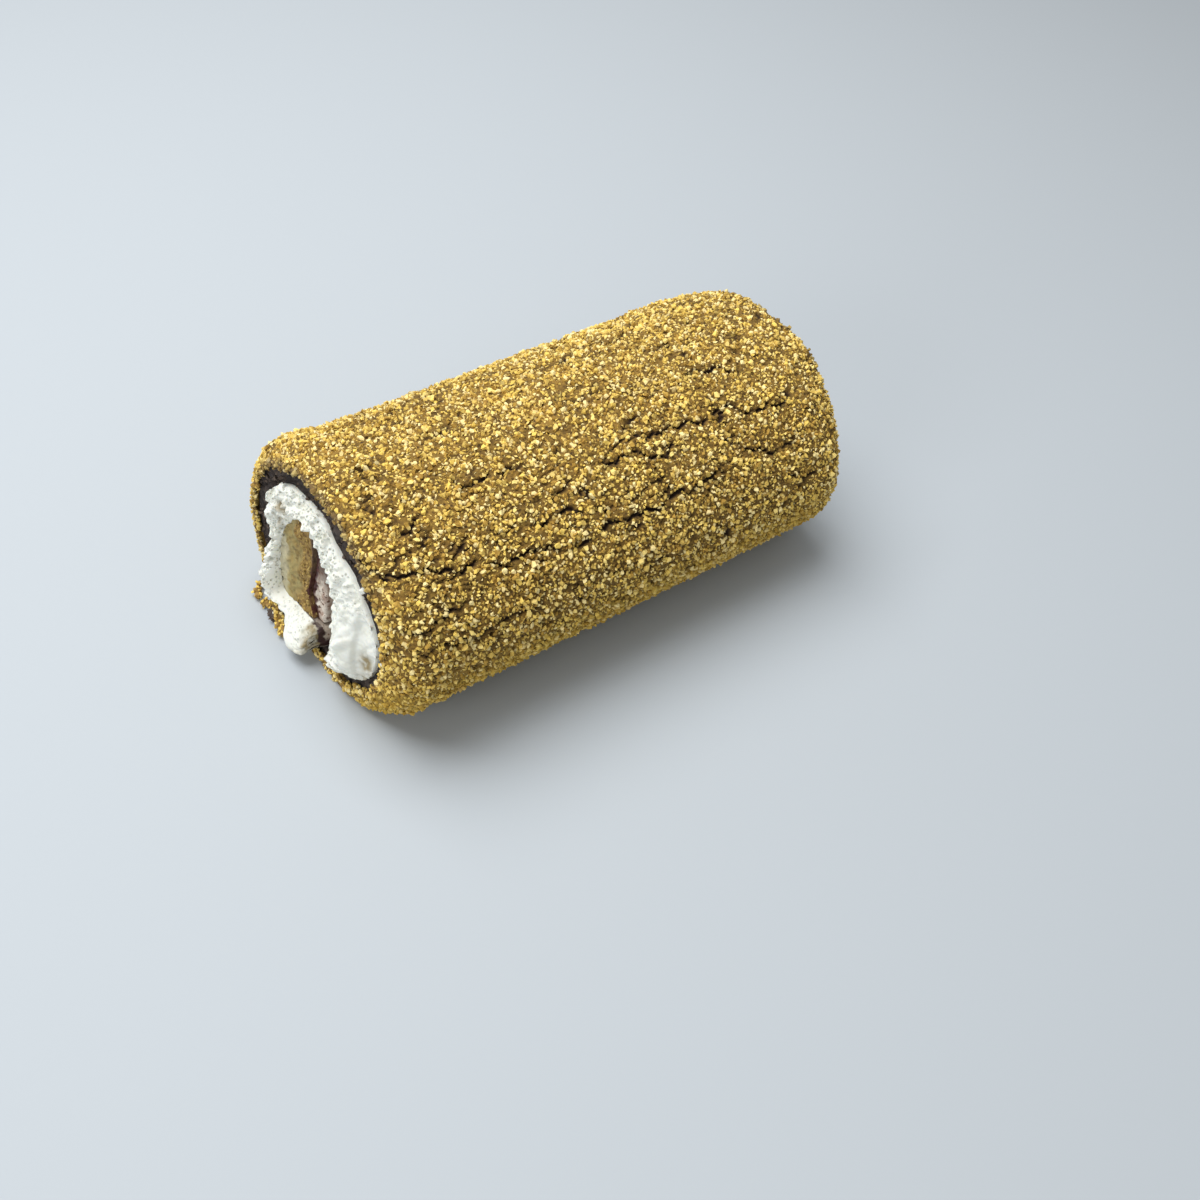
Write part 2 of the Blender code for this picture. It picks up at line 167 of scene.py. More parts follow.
@dataclass(frozen=True)
class RollForm:
    """The roll's own form: the outlines of its layers and the faces of its two cuts."""

    width: float = 84.0
    length: float = 149.0
    axis_height: float = 30.2
    crown_height: float = 65.4
    near_place: float = -71.5
    near_shoulder: tuple[float, ...] = (5.5, 4.5, 5.0, 6.5, 8.0, 8.0, 8.0, 8.0, 8.0, 8.0, 8.0, 7.0)
    far_shoulder: tuple[float, ...] = (
        14.0, 18.0, 21.5, 20.5, 17.0, 14.0, 9.5, 6.5, 6.0, 6.0, 8.0, 11.0)
    lip: float = 1.7
    lean_across: float = -0.041
    lean_up: float = 0.066
    far_worn: float = 3.0
    worn_across: Point = (-14.0, 2.0)
    worn_up: Point = (38.0, 56.0)
    sheet_half: Point = (32.2, 31.0)
    sheet_middle: Point = (2.2, 30.5)
    sheet_flare: float = 4.6
    flare_depth: float = 14.0
    sheet_base: float = 2.2
    floor_softness: float = 3.0
    sheet_set_back: float = 0.9
    sheet_thickness: tuple[float, ...] = (9.6, 5.2, 5.8, 7.4, 10.6, 7.6, 3.6, 3.2, 3.8, 2.4, 2.6, 5.4)
    slab_right: tuple[Point, ...] = (
        (5.0, 45.6), (1.4, 42.0), (0.0, 36.6), (0.0, 28.2), (0.7, 20.6), (1.0, 14.6), (4.6, 13.4))
    slab_left: tuple[Point, ...] = (
        (4.6, 13.4), (12.0, 12.6), (20.0, 12.2), (21.3, 20.5), (20.2, 29.5), (17.0, 37.5),
        (12.0, 43.4), (8.0, 46.8), (5.0, 45.6))
    jam_seam: tuple[Point, ...] = (
        (5.0, 45.6), (4.6, 37.0), (5.6, 28.2), (7.0, 21.5), (5.6, 16.0), (4.6, 13.4))
    hollow_width: float = 5.8
    hollow_depth: float = 16.0
    hollow_span: Point = (11.0, 33.0)
    hollow_edge: float = 10.0
    notch_depth: float = 9.0
    notch_span: Point = (-5.2, -1.0)
    notch_edge: float = 2.4
    notch_top: float = 17.0
    notch_fade: float = 5.0
    near_foot: float = 5.0
    far_foot: float = 2.8
    lobes: tuple[tuple[Point, Point, float], ...] = (
        ((22.0, 13.0), (6.0, 8.5), 0.72), ((5.5, 8.5), (7.2, 6.5), 1.0))
    crushed_span: Point = (17.0, 33.0)
    crushed_top: float = 12.0
    crushed_edge: float = 7.0
    crushed_part: float = 0.7
    gap: float = 0.3

    def angles(self, sides: int) -> Array:
        """Even clock angles once round the roll, from its crown."""
        return 0.5 * math.pi + math.tau * np.arange(sides) / sides

    def sheet_outline(self, angle: Array, depth: float, inset: Array | float) -> Outline:
        """Outline of the chocolate sheet.

        Args:
            angle: Clock angles.
            depth: Distance behind the nearer cut.
            inset: How far inside the sheet's outer face.

        Returns:
            y and z of each point.
        """
        flared = smooth((depth - self.sheet_set_back) / (self.flare_depth - self.sheet_set_back))
        across = self.sheet_half[0] + self.sheet_flare * flared - inset
        y = self.sheet_middle[0] + across * np.cos(angle)
        z = self.sheet_middle[1] + (self.sheet_half[1] - inset) * np.sin(angle)
        above = z - self.sheet_base - inset
        return y, self.sheet_base + inset + 0.5 * (above + np.hypot(above, self.floor_softness))

    def cream_outline(self, angle: Array, depth: float, inset: float) -> Outline:
        """Outline of the cream that fills the sheet, at a depth behind the nearer cut."""
        return self.sheet_outline(angle, depth, round_the_clock(self.sheet_thickness, angle) + inset)

    def coat_outline(self, angle: Array, depth: float, shoulder: tuple[float, ...]) -> Outline:
        """Outline of the coat, rounded over a shoulder behind the nearer cut.

        Args:
            angle: Clock angles.
            depth: Distance behind the cut.
            shoulder: Radii of the rounding round the clock.

        Returns:
            y and z of each point.
        """
        share = self.rounding(angle, depth, shoulder)
        lip_y = self.sheet_middle[0] + (self.sheet_half[0] + self.lip) * np.cos(angle)
        lip_z = self.sheet_middle[1] + (self.sheet_half[1] + self.lip) * np.sin(angle)
        full_y = 0.5 * self.width * np.cos(angle)
        rise = (self.crown_height - self.axis_height) * np.sin(angle)
        full_z = np.maximum(self.axis_height + rise, 0.0)
        y = lip_y + (full_y - lip_y) * share
        z = lip_z + (full_z - lip_z) * share
        return y, np.maximum(z, 0.0)

    def rounding(self, angle: Array, depth: float, shoulder: tuple[float, ...]) -> Array:
        """How far the coat has rounded over at a depth, from 0 to 1."""
        left = np.maximum(1.0 - depth / round_the_clock(shoulder, angle), 0.0)
        return np.sqrt(1.0 - left ** 2)

    def foot_share(self, y: Array, z: Array) -> Array:
        """How much of the foot's reach the cream has at a place on the cut."""
        return sum(height * spot(y, z, middle, reach) for middle, reach, height in self.lobes)

    def crushed_share(self, y: Array, z: Array) -> Array:
        """How far the crushed crust comes out below the foot, as a share of its reach."""
        fade = smooth((self.crushed_top - z) / self.crushed_top)
        return self.crushed_part * window(y, *self.crushed_span, self.crushed_edge) * fade

    def notch_share(self, y: Array, z: Array) -> Array:
        """How much of the notch's depth a place on the cut has."""
        return window(y, *self.notch_span, self.notch_edge) * smooth((self.notch_top - z) / self.notch_fade)

    def near_cut(self, y: Array, z: Array) -> Array:
        """Place along the roll of the near cut."""
        lean = self.lean_across * y + self.lean_up * (z - self.axis_height)
        return self.near_place + lean - self.near_foot * self.crushed_share(y, z)

    def far_cut(self, y: Array, z: Array) -> Array:
        """Place along the roll of the far cut.

        Args:
            y: Places across the cut.
            z: Heights on the cut.

        Returns:
            The place along the roll at each point.
        """
        lean = self.lean_across * y + self.lean_up * (z - self.axis_height)
        worn = 1.0
        for value, (low, high) in ((y, self.worn_across), (z, self.worn_up)):
            worn = worn * smooth((value - low) / (high - low))
        far_place = self.near_place + self.length - self.far_worn * worn
        return far_place - 0.5 * lean + self.far_foot * self.crushed_share(y, z)

    def ring(self, outline: Outline, share: float) -> Array:
        """Place an outline at a share of the roll's length.

        Args:
            outline: y and z of its points.
            share: 0 at the near cut and 1 at the far cut.

        Returns:
            The ring's points, three numbers in each row.
        """
        y, z = outline
        x = self.near_cut(y, z) * (1.0 - share) + self.far_cut(y, z) * share
        return np.stack([x, y, z], axis=-1)

    def face(self, near: bool, y: Array, z: Array, out: Array | float) -> Array:
        """Points at places on the near or the far cut that stand out of it by a distance."""
        x = self.near_cut(y, z) - out if near else self.far_cut(y, z) + out
        return np.stack([x, y, z], axis=-1)

    def notched_ring(self, outline: Outline, depth: float, share: float) -> Array:
        """A ring of the cream behind a cut, moved further in where the notch is.

        Args:
            outline: y and z of its points.
            depth: Distance behind the nearer cut.
            share: 0 at the near cut and 1 at the far cut.

        Returns:
            The ring's points.
        """
        ring = self.ring(outline, share)
        inwards = self.notch_depth * self.notch_share(*outline) * max(1.0 - depth / self.hollow_depth, 0.0)
        ring[..., 0] += inwards if share < 0.5 else -inwards
        return ring

    def slab_sides(self, sides: int) -> tuple[Array, Array]:
        """The slab's right side downwards and its left side upwards, with a number of steps.

        Args:
            sides: Number of steps in all.

        Returns:
            The right side's and the left side's points, one (y, z) in each row.
        """
        right_steps = round(0.4 * sides)
        right = curve_through(self.slab_right, right_steps + 1)
        left = curve_through(self.slab_left, sides - right_steps + 1)
        return right, left

    def hole_outline(self, sides: int, depth: float) -> Outline:
        """Outline of the hole in the cream, with the hollow beside the slab.

        Args:
            sides: Number of points.
            depth: Distance behind the nearer cut.

        Returns:
            y and z of each point.
        """
        right, left = self.slab_sides(sides)
        y, z = offset(np.vstack([right[:-1], left[:-1]]), 0.5 * self.gap).T
        fade = 1.0 - smooth(depth / self.hollow_depth)
        between = window(z, *self.hollow_span, self.hollow_edge)
        return y - self.hollow_width * smooth((6.0 - y) / 5.0) * between * fade, z

    def past_seam(self, y: Array, z: Array) -> Array:
        """How far a place on the cut lies left of the seam between jam and sponge."""
        seam = np.array(self.jam_seam)[::-1]
        return y - np.interp(z, seam[:, 1], seam[:, 0])

    def stations(self, depths: tuple[float, ...]) -> list[tuple[float, float]]:
        """Depth and share of the length at depths behind the near cut, then the far cut."""
        near = [(depth, depth / self.length) for depth in depths]
        return near + [(depth, 1.0 - depth / self.length) for depth in reversed(depths)]

    def inner_stations(self) -> list[tuple[float, float]]:
        """Stations of the faces between the layers."""
        return self.stations((0.0, self.sheet_set_back, 0.5 * self.flare_depth, self.flare_depth))


class MeshMaker:
    """Turns points into the meshes of pieces."""

    @staticmethod
    def from_rings(name: str, rings: Array, closed: bool) -> bpy.types.Mesh:
        """Join equal rings into a skin of quads.

        Args:
            name: The mesh's name.
            rings: Points with the shape (rings, points in a ring, 3), in millimetres.
            closed: Whether the last ring joins the first, as in a hollow tube. If not,
                a fan closes each end.

        Returns:
            The mesh, in metres and shaded smooth.
        """
        count, sides = rings.shape[:2]
        index = np.arange(count * sides).reshape(count, sides)
        first = index if closed else index[:-1]
        second = np.roll(index, -1, axis=0) if closed else index[1:]
        quads = np.stack([first, np.roll(first, -1, 1), np.roll(second, -1, 1), second], axis=-1)
        points = rings.reshape(-1, 3)
        faces = quads.reshape(-1, 4).tolist()
        if not closed:
            points = np.vstack([points, rings[0].mean(axis=0), rings[-1].mean(axis=0)])
            start, end = count * sides, count * sides + 1
            faces += [[int(b), int(a), start] for a, b in zip(index[0], np.roll(index[0], -1))]
            faces += [[int(a), int(b), end] for a, b in zip(index[-1], np.roll(index[-1], -1))]
        mesh = bpy.data.meshes.new(name)
        mesh.from_pydata((points * MM).tolist(), [], faces)
        mesh.shade_smooth()
        return mesh

    @staticmethod
    def from_blobs(name: str, blobs: tuple[Blob, ...], rough: float) -> bpy.types.Mesh:
        """Make lumpy blobs in one mesh.

        Args:
            name: The mesh's name.
            blobs: x, y, z and radius of each blob.
            rough: Height of the lumps as a share of the radius.

        Returns:
            The mesh.
        """
        shape = bmesh.new()
        for *place, radius in blobs:
            middle = Vector(place)
            made = bmesh.ops.create_icosphere(shape, subdivisions=3, radius=1.0)["verts"]
            for vert in made:
                way = vert.co.copy()
                lump = noise.noise(way * 1.7 + middle) + 0.5 * noise.noise(way * 4.0 + middle.yzx)
                moved = middle + way * radius * (1.0 + rough * lump)
                vert.co = Vector((moved.x, moved.y, max(moved.z, 0.1))) * MM
        mesh = bpy.data.meshes.new(name)
        shape.to_mesh(mesh)
        shape.free()
        mesh.shade_smooth()
        return mesh

    @staticmethod
    def add_values(mesh: bpy.types.Mesh, values: dict[str, tuple[Array | float, ...]]) -> None:
        """Keep numbers for the points of a mesh, for its material and its crumbs.

        Args:
            mesh: The mesh.
            values: Attribute name to one number for each ring point, in as many parts as
                the rings have, or one for all; a closing fan's middle gets the last.
        """
        for name, parts in values.items():
            flat = np.concatenate([np.ravel(part) for part in parts]).astype(np.float32)
            padded = np.full(len(mesh.vertices), flat[-1], dtype=np.float32)
            padded[:len(flat)] = flat
            mesh.attributes.new(name, "FLOAT", "POINT").data.foreach_set("value", padded)

    @staticmethod
    def piece(name: str, mesh: bpy.types.Mesh, material: bpy.types.Material) -> bpy.types.Object:
        """Put a mesh in the scene as a piece with one material.

        Args:
            name: The piece's name.
            mesh: Its mesh.
            material: Its only material.

        Returns:
            The piece.
        """
        mesh.name = name
        mesh.materials.clear()
        mesh.materials.append(material)
        thing = bpy.data.objects.new(name, mesh)
        bpy.context.scene.collection.objects.link(thing)
        return thing


class Graph:
    """A node tree that is being wired up."""

    def __init__(self, tree: bpy.types.NodeTree) -> None:
        """Start on a tree."""
        self.tree = tree

    def add(self, kind: str, inputs: dict | None = None, **settings: object) -> bpy.types.Node:
        """Add a node, set its properties, and fill or link its inputs.

        Args:
            kind: The node's type name.
            inputs: Input name or number to a value, or to the socket that feeds it.
            **settings: Properties of the node.

        Returns:
            The node.
        """
        node = self.tree.nodes.new(kind)
        for name, value in settings.items():
            setattr(node, name, value)
        self.feed(node, inputs or {})
        return node

    def feed(self, node: bpy.types.Node, inputs: dict) -> None:
        """Fill or link a node's inputs; a colour has three numbers.

        Args:
            node: The node.
            inputs: Input name or number to a value, or to the socket that feeds it.
        """
        for key, value in inputs.items():
            socket = node.inputs[key]
            if isinstance(value, Socket):
                self.tree.links.new(value, socket)
            else:
                socket.default_value = (*value, 1.0) if socket.type == "RGBA" else value

    def math(self, operation: str, a: object, b: object = 0.0, clamp: bool = False) -> Socket:
        """One step of arithmetic on two values or sockets, held between 0 and 1 if asked."""
        return self.add("ShaderNodeMath", {0: a, 1: b}, operation=operation, use_clamp=clamp).outputs[0]

    def times(self, a: object, b: object, clamp: bool = False) -> Socket:
        """The product of two values or sockets, held between 0 and 1 if asked."""
        return self.math("MULTIPLY", a, b, clamp)

    def mix(self, share: object, low: object, high: object) -> Socket:
        """Mix two colours by a share, which is a value or a socket, of the second."""
        return self.add("ShaderNodeMix", {0: share, 6: low, 7: high}, data_type="RGBA").outputs[2]

    def ramp(self, value: Socket, low: float, high: float) -> Socket:
        """Stretch a value so that low gives 0 and high gives 1."""
        return self.add("ShaderNodeMapRange", {0: value, 1: low, 2: high}, clamp=True).outputs[0]

    def span(self, length: Socket, low: float, high: float) -> Socket:
        """Stretch a length so that low gives 0 and high gives 1, both in millimetres."""
        return self.ramp(length, low * MM, high * MM)

    def scaled(self, vector: object, share: object) -> Socket:
        """A vector times a number, each of them a value or a socket.

        Args:
            vector: The vector.
            share: The number.

        Returns:
            The scaled vector.
        """
        node = self.add("ShaderNodeVectorMath", {0: vector}, operation="SCALE")
        self.feed(node, {"Scale": share})
        return node.outputs[0]

    def noise(self, place: Socket, size: float, detail: float = 2.0) -> Socket:
        """Noise with lumps of a size in millimetres."""
        return self.add("ShaderNodeTexNoise", {"Vector": place, "Scale": 1.0 / (size * MM),
                                               "Detail": detail}).outputs[0]

    def place(self) -> Socket:
        """Object coordinates."""
        return self.add("ShaderNodeTexCoord").outputs["Object"]

    def kept(self, name: str) -> Socket:
        """The number kept on the mesh under a name."""
        return self.add("ShaderNodeAttribute", attribute_name=name).outputs["Fac"]


class Effect(Enum):
    """Shader effects that several finishes share."""

    CRUMB = "crumb_grain"
    PORES = "open_pores"

    def add_to(self, graph: Graph, inputs: dict) -> bpy.types.Node:
        """Add the effect's group to a material.

        Args:
            graph: The material's graph.
            inputs: Values and sockets of the group's inputs.

        Returns:
            The group's node.
        """
        tree = bpy.data.node_groups.get(self.value)
        if tree is None:
            builders = {Effect.CRUMB: self.build_crumb, Effect.PORES: self.build_pores}
            tree = builders[self]()
        return graph.add("ShaderNodeGroup", inputs, node_tree=tree)

    @staticmethod
    def crumbs(graph: Graph, place: Socket, colours: tuple[Colour, ...], sizes: Point,
               share: float) -> bpy.types.Node:
        """Add the grain of crumb.

        Args:
            graph: The material's graph.
            place: Object coordinates.
            colours: Low, high and toasted colour.
            sizes: Size of a grain and of a toasted patch, in millimetres.
            share: How much of the toasted colour a patch has.

        Returns:
            The group's node.
        """
        low, high, toast = colours
        grain, patch = sizes
        return Effect.CRUMB.add_to(graph, {
            "Vector": place, "Low": low, "High": high, "Toast": toast, "Grain Scale": 1.0 / (grain * MM),
            "Patch Scale": 1.0 / (patch * MM), "Toast Share": share})

    @staticmethod
    def pores(graph: Graph, place: Socket, size: float, width: float) -> bpy.types.Node:
        """Add open pores, as far apart as a size in millimetres and as wide as a share of it."""
        return Effect.PORES.add_to(graph, {"Vector": place, "Scale": 1.0 / (size * MM), "Width": width})

    def start(self, inputs: dict[str, str], outputs: dict[str, str]) -> Graph:
        """Start the effect's group.

        Args:
            inputs: Name and socket type of each input.
            outputs: Name and socket type of each output.

        Returns:
            The graph to wire up.
        """
        tree = bpy.data.node_groups.new(self.value, "ShaderNodeTree")
        for side, sockets in (("INPUT", inputs), ("OUTPUT", outputs)):
            for label, kind in sockets.items():
                tree.interface.new_socket(label, in_out=side, socket_type=f"NodeSocket{kind}")
        return Graph(tree)

    def build_crumb(self) -> bpy.types.NodeTree:
        """Patchy, grainy colour and relief: broad toasted patches under fine grains.

        Returns:
            The group's tree.
        """
        graph = self.start(
            {"Vector": "Vector", "Low": "Color", "High": "Color", "Toast": "Color",
             "Grain Scale": "Float", "Patch Scale": "Float", "Toast Share": "Float"},
            {"Color": "Color", "Height": "Float"})
        given = graph.add("NodeGroupInput").outputs
        grain = graph.add("ShaderNodeTexNoise", {"Vector": given["Vector"], "Scale": given["Grain Scale"],
                                                 "Detail": 4.0, "Roughness": 0.7}).outputs[0]
        patch = graph.add("ShaderNodeTexNoise", {"Vector": given["Vector"], "Scale": given["Patch Scale"],
                                                 "Detail": 3.0}).outputs[0]
        body = graph.mix(graph.ramp(grain, 0.32, 0.68), given["Low"], given["High"])
        share = graph.times(graph.ramp(patch, 0.5, 0.72), given["Toast Share"])
        colour = graph.mix(share, body, given["Toast"])
        graph.add("NodeGroupOutput", {"Color": colour, "Height": grain})
        return graph.tree

    def build_pores(self) -> bpy.types.NodeTree:
        """Open pores: a mask that is one in a pore, and a height that dips there.

        Returns:
            The group's tree.
        """
        graph = self.start({"Vector": "Vector", "Scale": "Float", "Width": "Float"},
                           {"Mask": "Float", "Height": "Float"})
        given = graph.add("NodeGroupInput").outputs
        wobble = graph.add("ShaderNodeTexNoise", {"Vector": given["Vector"], "Scale": given["Scale"]})
        cells = graph.add("ShaderNodeTexVoronoi", {"Vector": given["Vector"], "Scale": given["Scale"]})
        bent = graph.times(graph.math("SUBTRACT", wobble.outputs[0], 0.5), 0.6)
        away = graph.math("ADD", cells.outputs["Distance"], bent)
        inside = graph.math("DIVIDE", away, given["Width"], clamp=True)
        graph.add("NodeGroupOutput", {"Mask": graph.math("SUBTRACT", 1.0, inside), "Height": inside})
        return graph.tree


class Finish:
    """A surface finish; each kind builds its own material."""

    name: str

    def material(self) -> bpy.types.Material:
        """The finish's material, built when it is first asked for.

        Returns:
            The material.
        """
        known = bpy.data.materials.get(self.name)
        if known:
            return known
        material = bpy.data.materials.new(self.name)
        material.use_nodes = True
        self.wire(Graph(material.node_tree), material.node_tree.nodes["Principled BSDF"])
        return material

    def wire(self, graph: Graph, surface: bpy.types.Node) -> None:
        """Wire the finish's colour, roughness and relief to a Principled surface."""
        raise NotImplementedError

    @staticmethod
    def connect(graph: Graph, surface: bpy.types.Node, colour: Socket, height: Socket,
                relief: float, roughness: object) -> None:
        """Feed colour, roughness and bump to a surface.

        Args:
            graph: The material's graph.
            surface: Its Principled node.
            colour: Colour to show.
            height: Height for the bump.
            relief: Height of the relief, in millimetres.
            roughness: The roughness, as a value or a socket.
        """
        bump = graph.add("ShaderNodeBump", {"Height": height, "Distance": relief * MM, "Strength": 0.8})
        graph.feed(surface, {"Base Color": colour, "Normal": bump.outputs[0], "Roughness": roughness})


@dataclass(frozen=True)
class CrumbFinish(Finish):
    """Dry cake crumb: loose grains, or the coat that they sit in."""

    name: str
    low: Colour
    high: Colour
    toast: Colour = (0.42, 0.235, 0.04)
    # pressed: the low band's tone, pressed crumb with a painted shade tint that is less blue
    pressed: Colour = (0.50, 0.32, 0.03)
    # deep: near black, the painted shade in cracks and open pores
    deep: Colour = (0.02, 0.007, 0.002)
    toast_share: float = 0.45
    # Grey-brown on the lip and on the rim by the sheet: chocolate tint, and painted shade
    cocoa_and_shade: Colour = (0.15, 0.10, 0.05)
    grain_size: float = 0.9
    patch_size: float = 5.5
    streak_size: float = 4.0
    pore_size: float = 1.15
    pore_width: float = 0.42
    pores: float = 0.0

    def wire(self, graph: Graph, surface: bpy.types.Node) -> None:
        """Each grain has its own tint; towards the bottom it is duller, pressed crumb with a painted shade
        tint, and cracks and pores are painted near black as their shade.

        Args:
            graph: The material's graph.
            surface: Its Principled node.
        """
        place = graph.place()
        crumb = Effect.crumbs(graph, place, (self.low, self.high, self.toast),
                              (self.grain_size, self.patch_size), self.toast_share)
        tinted = graph.mix(graph.times(graph.kept("tint"), 0.6), crumb.outputs["Color"], self.high)
        # Towards the bottom: pressed crumb, and a painted shade tint
        press_and_shade = graph.kept("press_and_shade")
        duller = graph.mix(graph.times(press_and_shade, 0.55), tinted, self.pressed)
        along = graph.add("ShaderNodeMapping", {"Vector": place, "Scale": (0.2, 1.0, 1.0)}).outputs[0]
        streak = graph.ramp(graph.noise(along, self.streak_size), 0.55, 0.72)
        streaked = graph.mix(graph.times(graph.times(streak, press_and_shade), 0.5), duller, self.toast)
        # Lip and rim: chocolate tint, and painted shade
        stained = graph.mix(graph.times(graph.kept("cocoa_and_shade"), 0.75), streaked, self.cocoa_and_shade)
        # Painted shade: open pores and cracks are mixed towards the near-black deep colour
        pores = Effect.pores(graph, place, self.pore_size, self.pore_width)
        dark = graph.times(pores.outputs["Mask"], self.pores)
        torn = graph.times(graph.kept("crack"), 1.7, True)
        colour = graph.mix(graph.math("MAXIMUM", dark, torn), stained, self.deep)
        height = graph.math("SUBTRACT", crumb.outputs["Height"], dark)
        self.connect(graph, surface, colour, height, 0.3, 0.93)


@dataclass(frozen=True)
class SpongeFinish(Finish):
    """Moist sponge that a knife has opened, with pores and a smear of cream on it."""

    name: str
    low: Colour
    high: Colour
    toast: Colour
    smear: Colour
    # pore: near black, painted shade inside the pores
    pore: Colour
    jam: Colour = (0.07, 0.016, 0.010)
    mauve: Colour = (0.13, 0.08, 0.045)
    milk: Colour = (0.60, 0.575, 0.43)
    pore_size: float = 1.5
    pore_width: float = 0.45
    grain_size: float = 1.2
    patch_size: float = 6.0
    toast_share: float = 0.7
    roughness: float = 0.85

    def wire(self, graph: Graph, surface: bpy.types.Node) -> None:
        """Crumb colour with pores painted dark as their shade, and the smear where the mesh says so.

        Args:
            graph: The material's graph.
            surface: Its Principled node.
        """
        place = graph.place()
        crumb = Effect.crumbs(graph, place, (self.low, self.high, self.toast),
                              (self.grain_size, self.patch_size), self.toast_share)
        pores = Effect.pores(graph, place, self.pore_size, self.pore_width)
        smear = graph.kept("smear")
        clear = graph.math("SUBTRACT", 0.85, graph.times(smear, 0.6))
        open_share = graph.times(pores.outputs["Mask"], clear)
        mottle = graph.ramp(graph.noise(place, 2.4, 4.0), 0.36, 0.62)
        mottled = graph.mix(graph.times(mottle, 0.55), self.smear, crumb.outputs["Color"])
        smeared = graph.mix(graph.ramp(smear, 0.0, 0.9), crumb.outputs["Color"], mottled)
        smeared = graph.mix(graph.times(graph.ramp(smear, 0.8, 1.0), 0.6), smeared, self.milk)
        # Painted shade: open pores are mixed towards the pore colour
        opened = graph.mix(open_share, smeared, self.pore)
        side = graph.mix(graph.kept("pale"), self.mauve, self.jam)
        colour = graph.mix(graph.kept("jam"), opened, side)
        self.connect(graph, surface, colour, pores.outputs["Height"], 0.4, self.roughness)


@dataclass(frozen=True)
class CreamFinish(Finish):
    """Whipped cream: white, finely pitted where it tore, satin where it was smoothed."""

    name: str = "cream"
    white: Colour = (0.78, 0.795, 0.735)
    ivory: Colour = (0.76, 0.755, 0.62)
    # hollow: grey, the painted shade in the cream's pits
    hollow: Colour = (0.36, 0.37, 0.30)
    stain: Colour = (0.27, 0.21, 0.10)
    blush: Colour = (0.50, 0.42, 0.335)
    speck: Colour = (0.16, 0.07, 0.03)
    # Near black: painted shade on the hollow's low floor, along the notch's edge and in the hole in front
    # of it
    recess_shade: Colour = (0.035, 0.012, 0.010)
    fine_pores: Point = (0.95, 0.42)
    broad_pores: Point = (3.1, 0.27)
    near_slope: Place = (1.0, 0.041, -0.066)
    near_start: float = 73.49
    far_slope: Place = (-1.0, 0.0205, -0.033)
    far_start: float = 78.5

    def wire(self, graph: Graph, surface: bpy.types.Node) -> None:
        """White with pits painted greyer as their shade, sponge stains, a specked film in the notch and
        hollow, and painted near-black shade deep in the notch and hollow.

        Args:
            graph: The material's graph.
            surface: Its Principled node.
        """
        place = graph.place()
        fine = Effect.pores(graph, place, *self.fine_pores)
        broad = Effect.pores(graph, place, *self.broad_pores)
        both = graph.math("MAXIMUM", fine.outputs["Mask"], broad.outputs["Mask"])
        shown = graph.times(both, graph.kept("torn"))
        yellowed = graph.times(graph.ramp(graph.noise(place, 5.0, 4.0), 0.46, 0.66), 0.35)
        clean = graph.mix(yellowed, self.white, self.ivory)
        # Painted shade: the pits are mixed towards grey
        body = graph.mix(graph.times(shown, 0.95), clean, self.hollow)
        mottle = graph.ramp(graph.noise(place, 2.0, 4.0), 0.20, 0.52)
        film, line, side = self.film(graph, place)
        touched = graph.math("MAXIMUM", graph.kept("stain"), side)
        stained = graph.mix(graph.times(touched, mottle, True), body, self.stain)
        specks = graph.ramp(graph.noise(place, 1.0, 2.0), 0.56, 0.64)
        blushed = graph.mix(film, stained, graph.mix(specks, self.blush, self.speck))
        # Painted shade: near black on the dark line, the hole and the hollow's floor
        colour = graph.mix(graph.math("MAXIMUM", line, graph.kept("recess_shade")), blushed, self.recess_shade)
        graph.feed(surface, {"Subsurface Weight": 0.2, "Subsurface Radius": (1.0, 0.8, 0.6),
                             "Subsurface Scale": 1.0 * MM})
        self.connect(graph, surface, colour, graph.math("SUBTRACT", 1.0, shown), 0.4, 0.5)

    def film(self, graph: Graph, place: Socket) -> tuple[Socket, Socket, Socket]:
        """The film on the notch's flanks, and the dark line and hole in front of it, painted as shade.

        Args:
            graph: The material's graph.
            place: Object coordinates.

        Returns:
            Three masks, for the film, for the painted shade, and for the foot's stained side.
        """
        depths = []
        for slope, start in ((self.near_slope, self.near_start), (self.far_slope, self.far_start)):
            along = graph.add("ShaderNodeVectorMath", {0: place, 1: slope}, operation="DOT_PRODUCT")
            depths.append(graph.math("ADD", along.outputs["Value"], start * MM))
        wander = graph.times(graph.math("SUBTRACT", graph.noise(place, 1.8, 3.0), 0.5), 3.6 * MM)
        inwards = graph.math("ADD", graph.math("MINIMUM", *depths), wander)
        height = graph.add("ShaderNodeSeparateXYZ", {0: place}).outputs[2]
        flank = graph.kept("blush")
        film = graph.times(flank, graph.span(inwards, 0.3, 0.9))
        # Painted shade: a dark line along the notch's edge below about 17 mm, and a dark hole in front of
        # the notch below 8 mm
        line = graph.times(graph.span(inwards, -1.0, -0.5), graph.span(inwards, 1.2, 0.7))
        line = graph.times(line, graph.span(height, 17.5, 16.0))
        hole = graph.times(graph.span(inwards, -0.8, 0.0), graph.span(height, 9.6, 8.0))
        side = graph.times(flank, graph.span(inwards, -5.5, -1.5))
        return film, graph.times(flank, graph.math("MAXIMUM", line, hole)), side


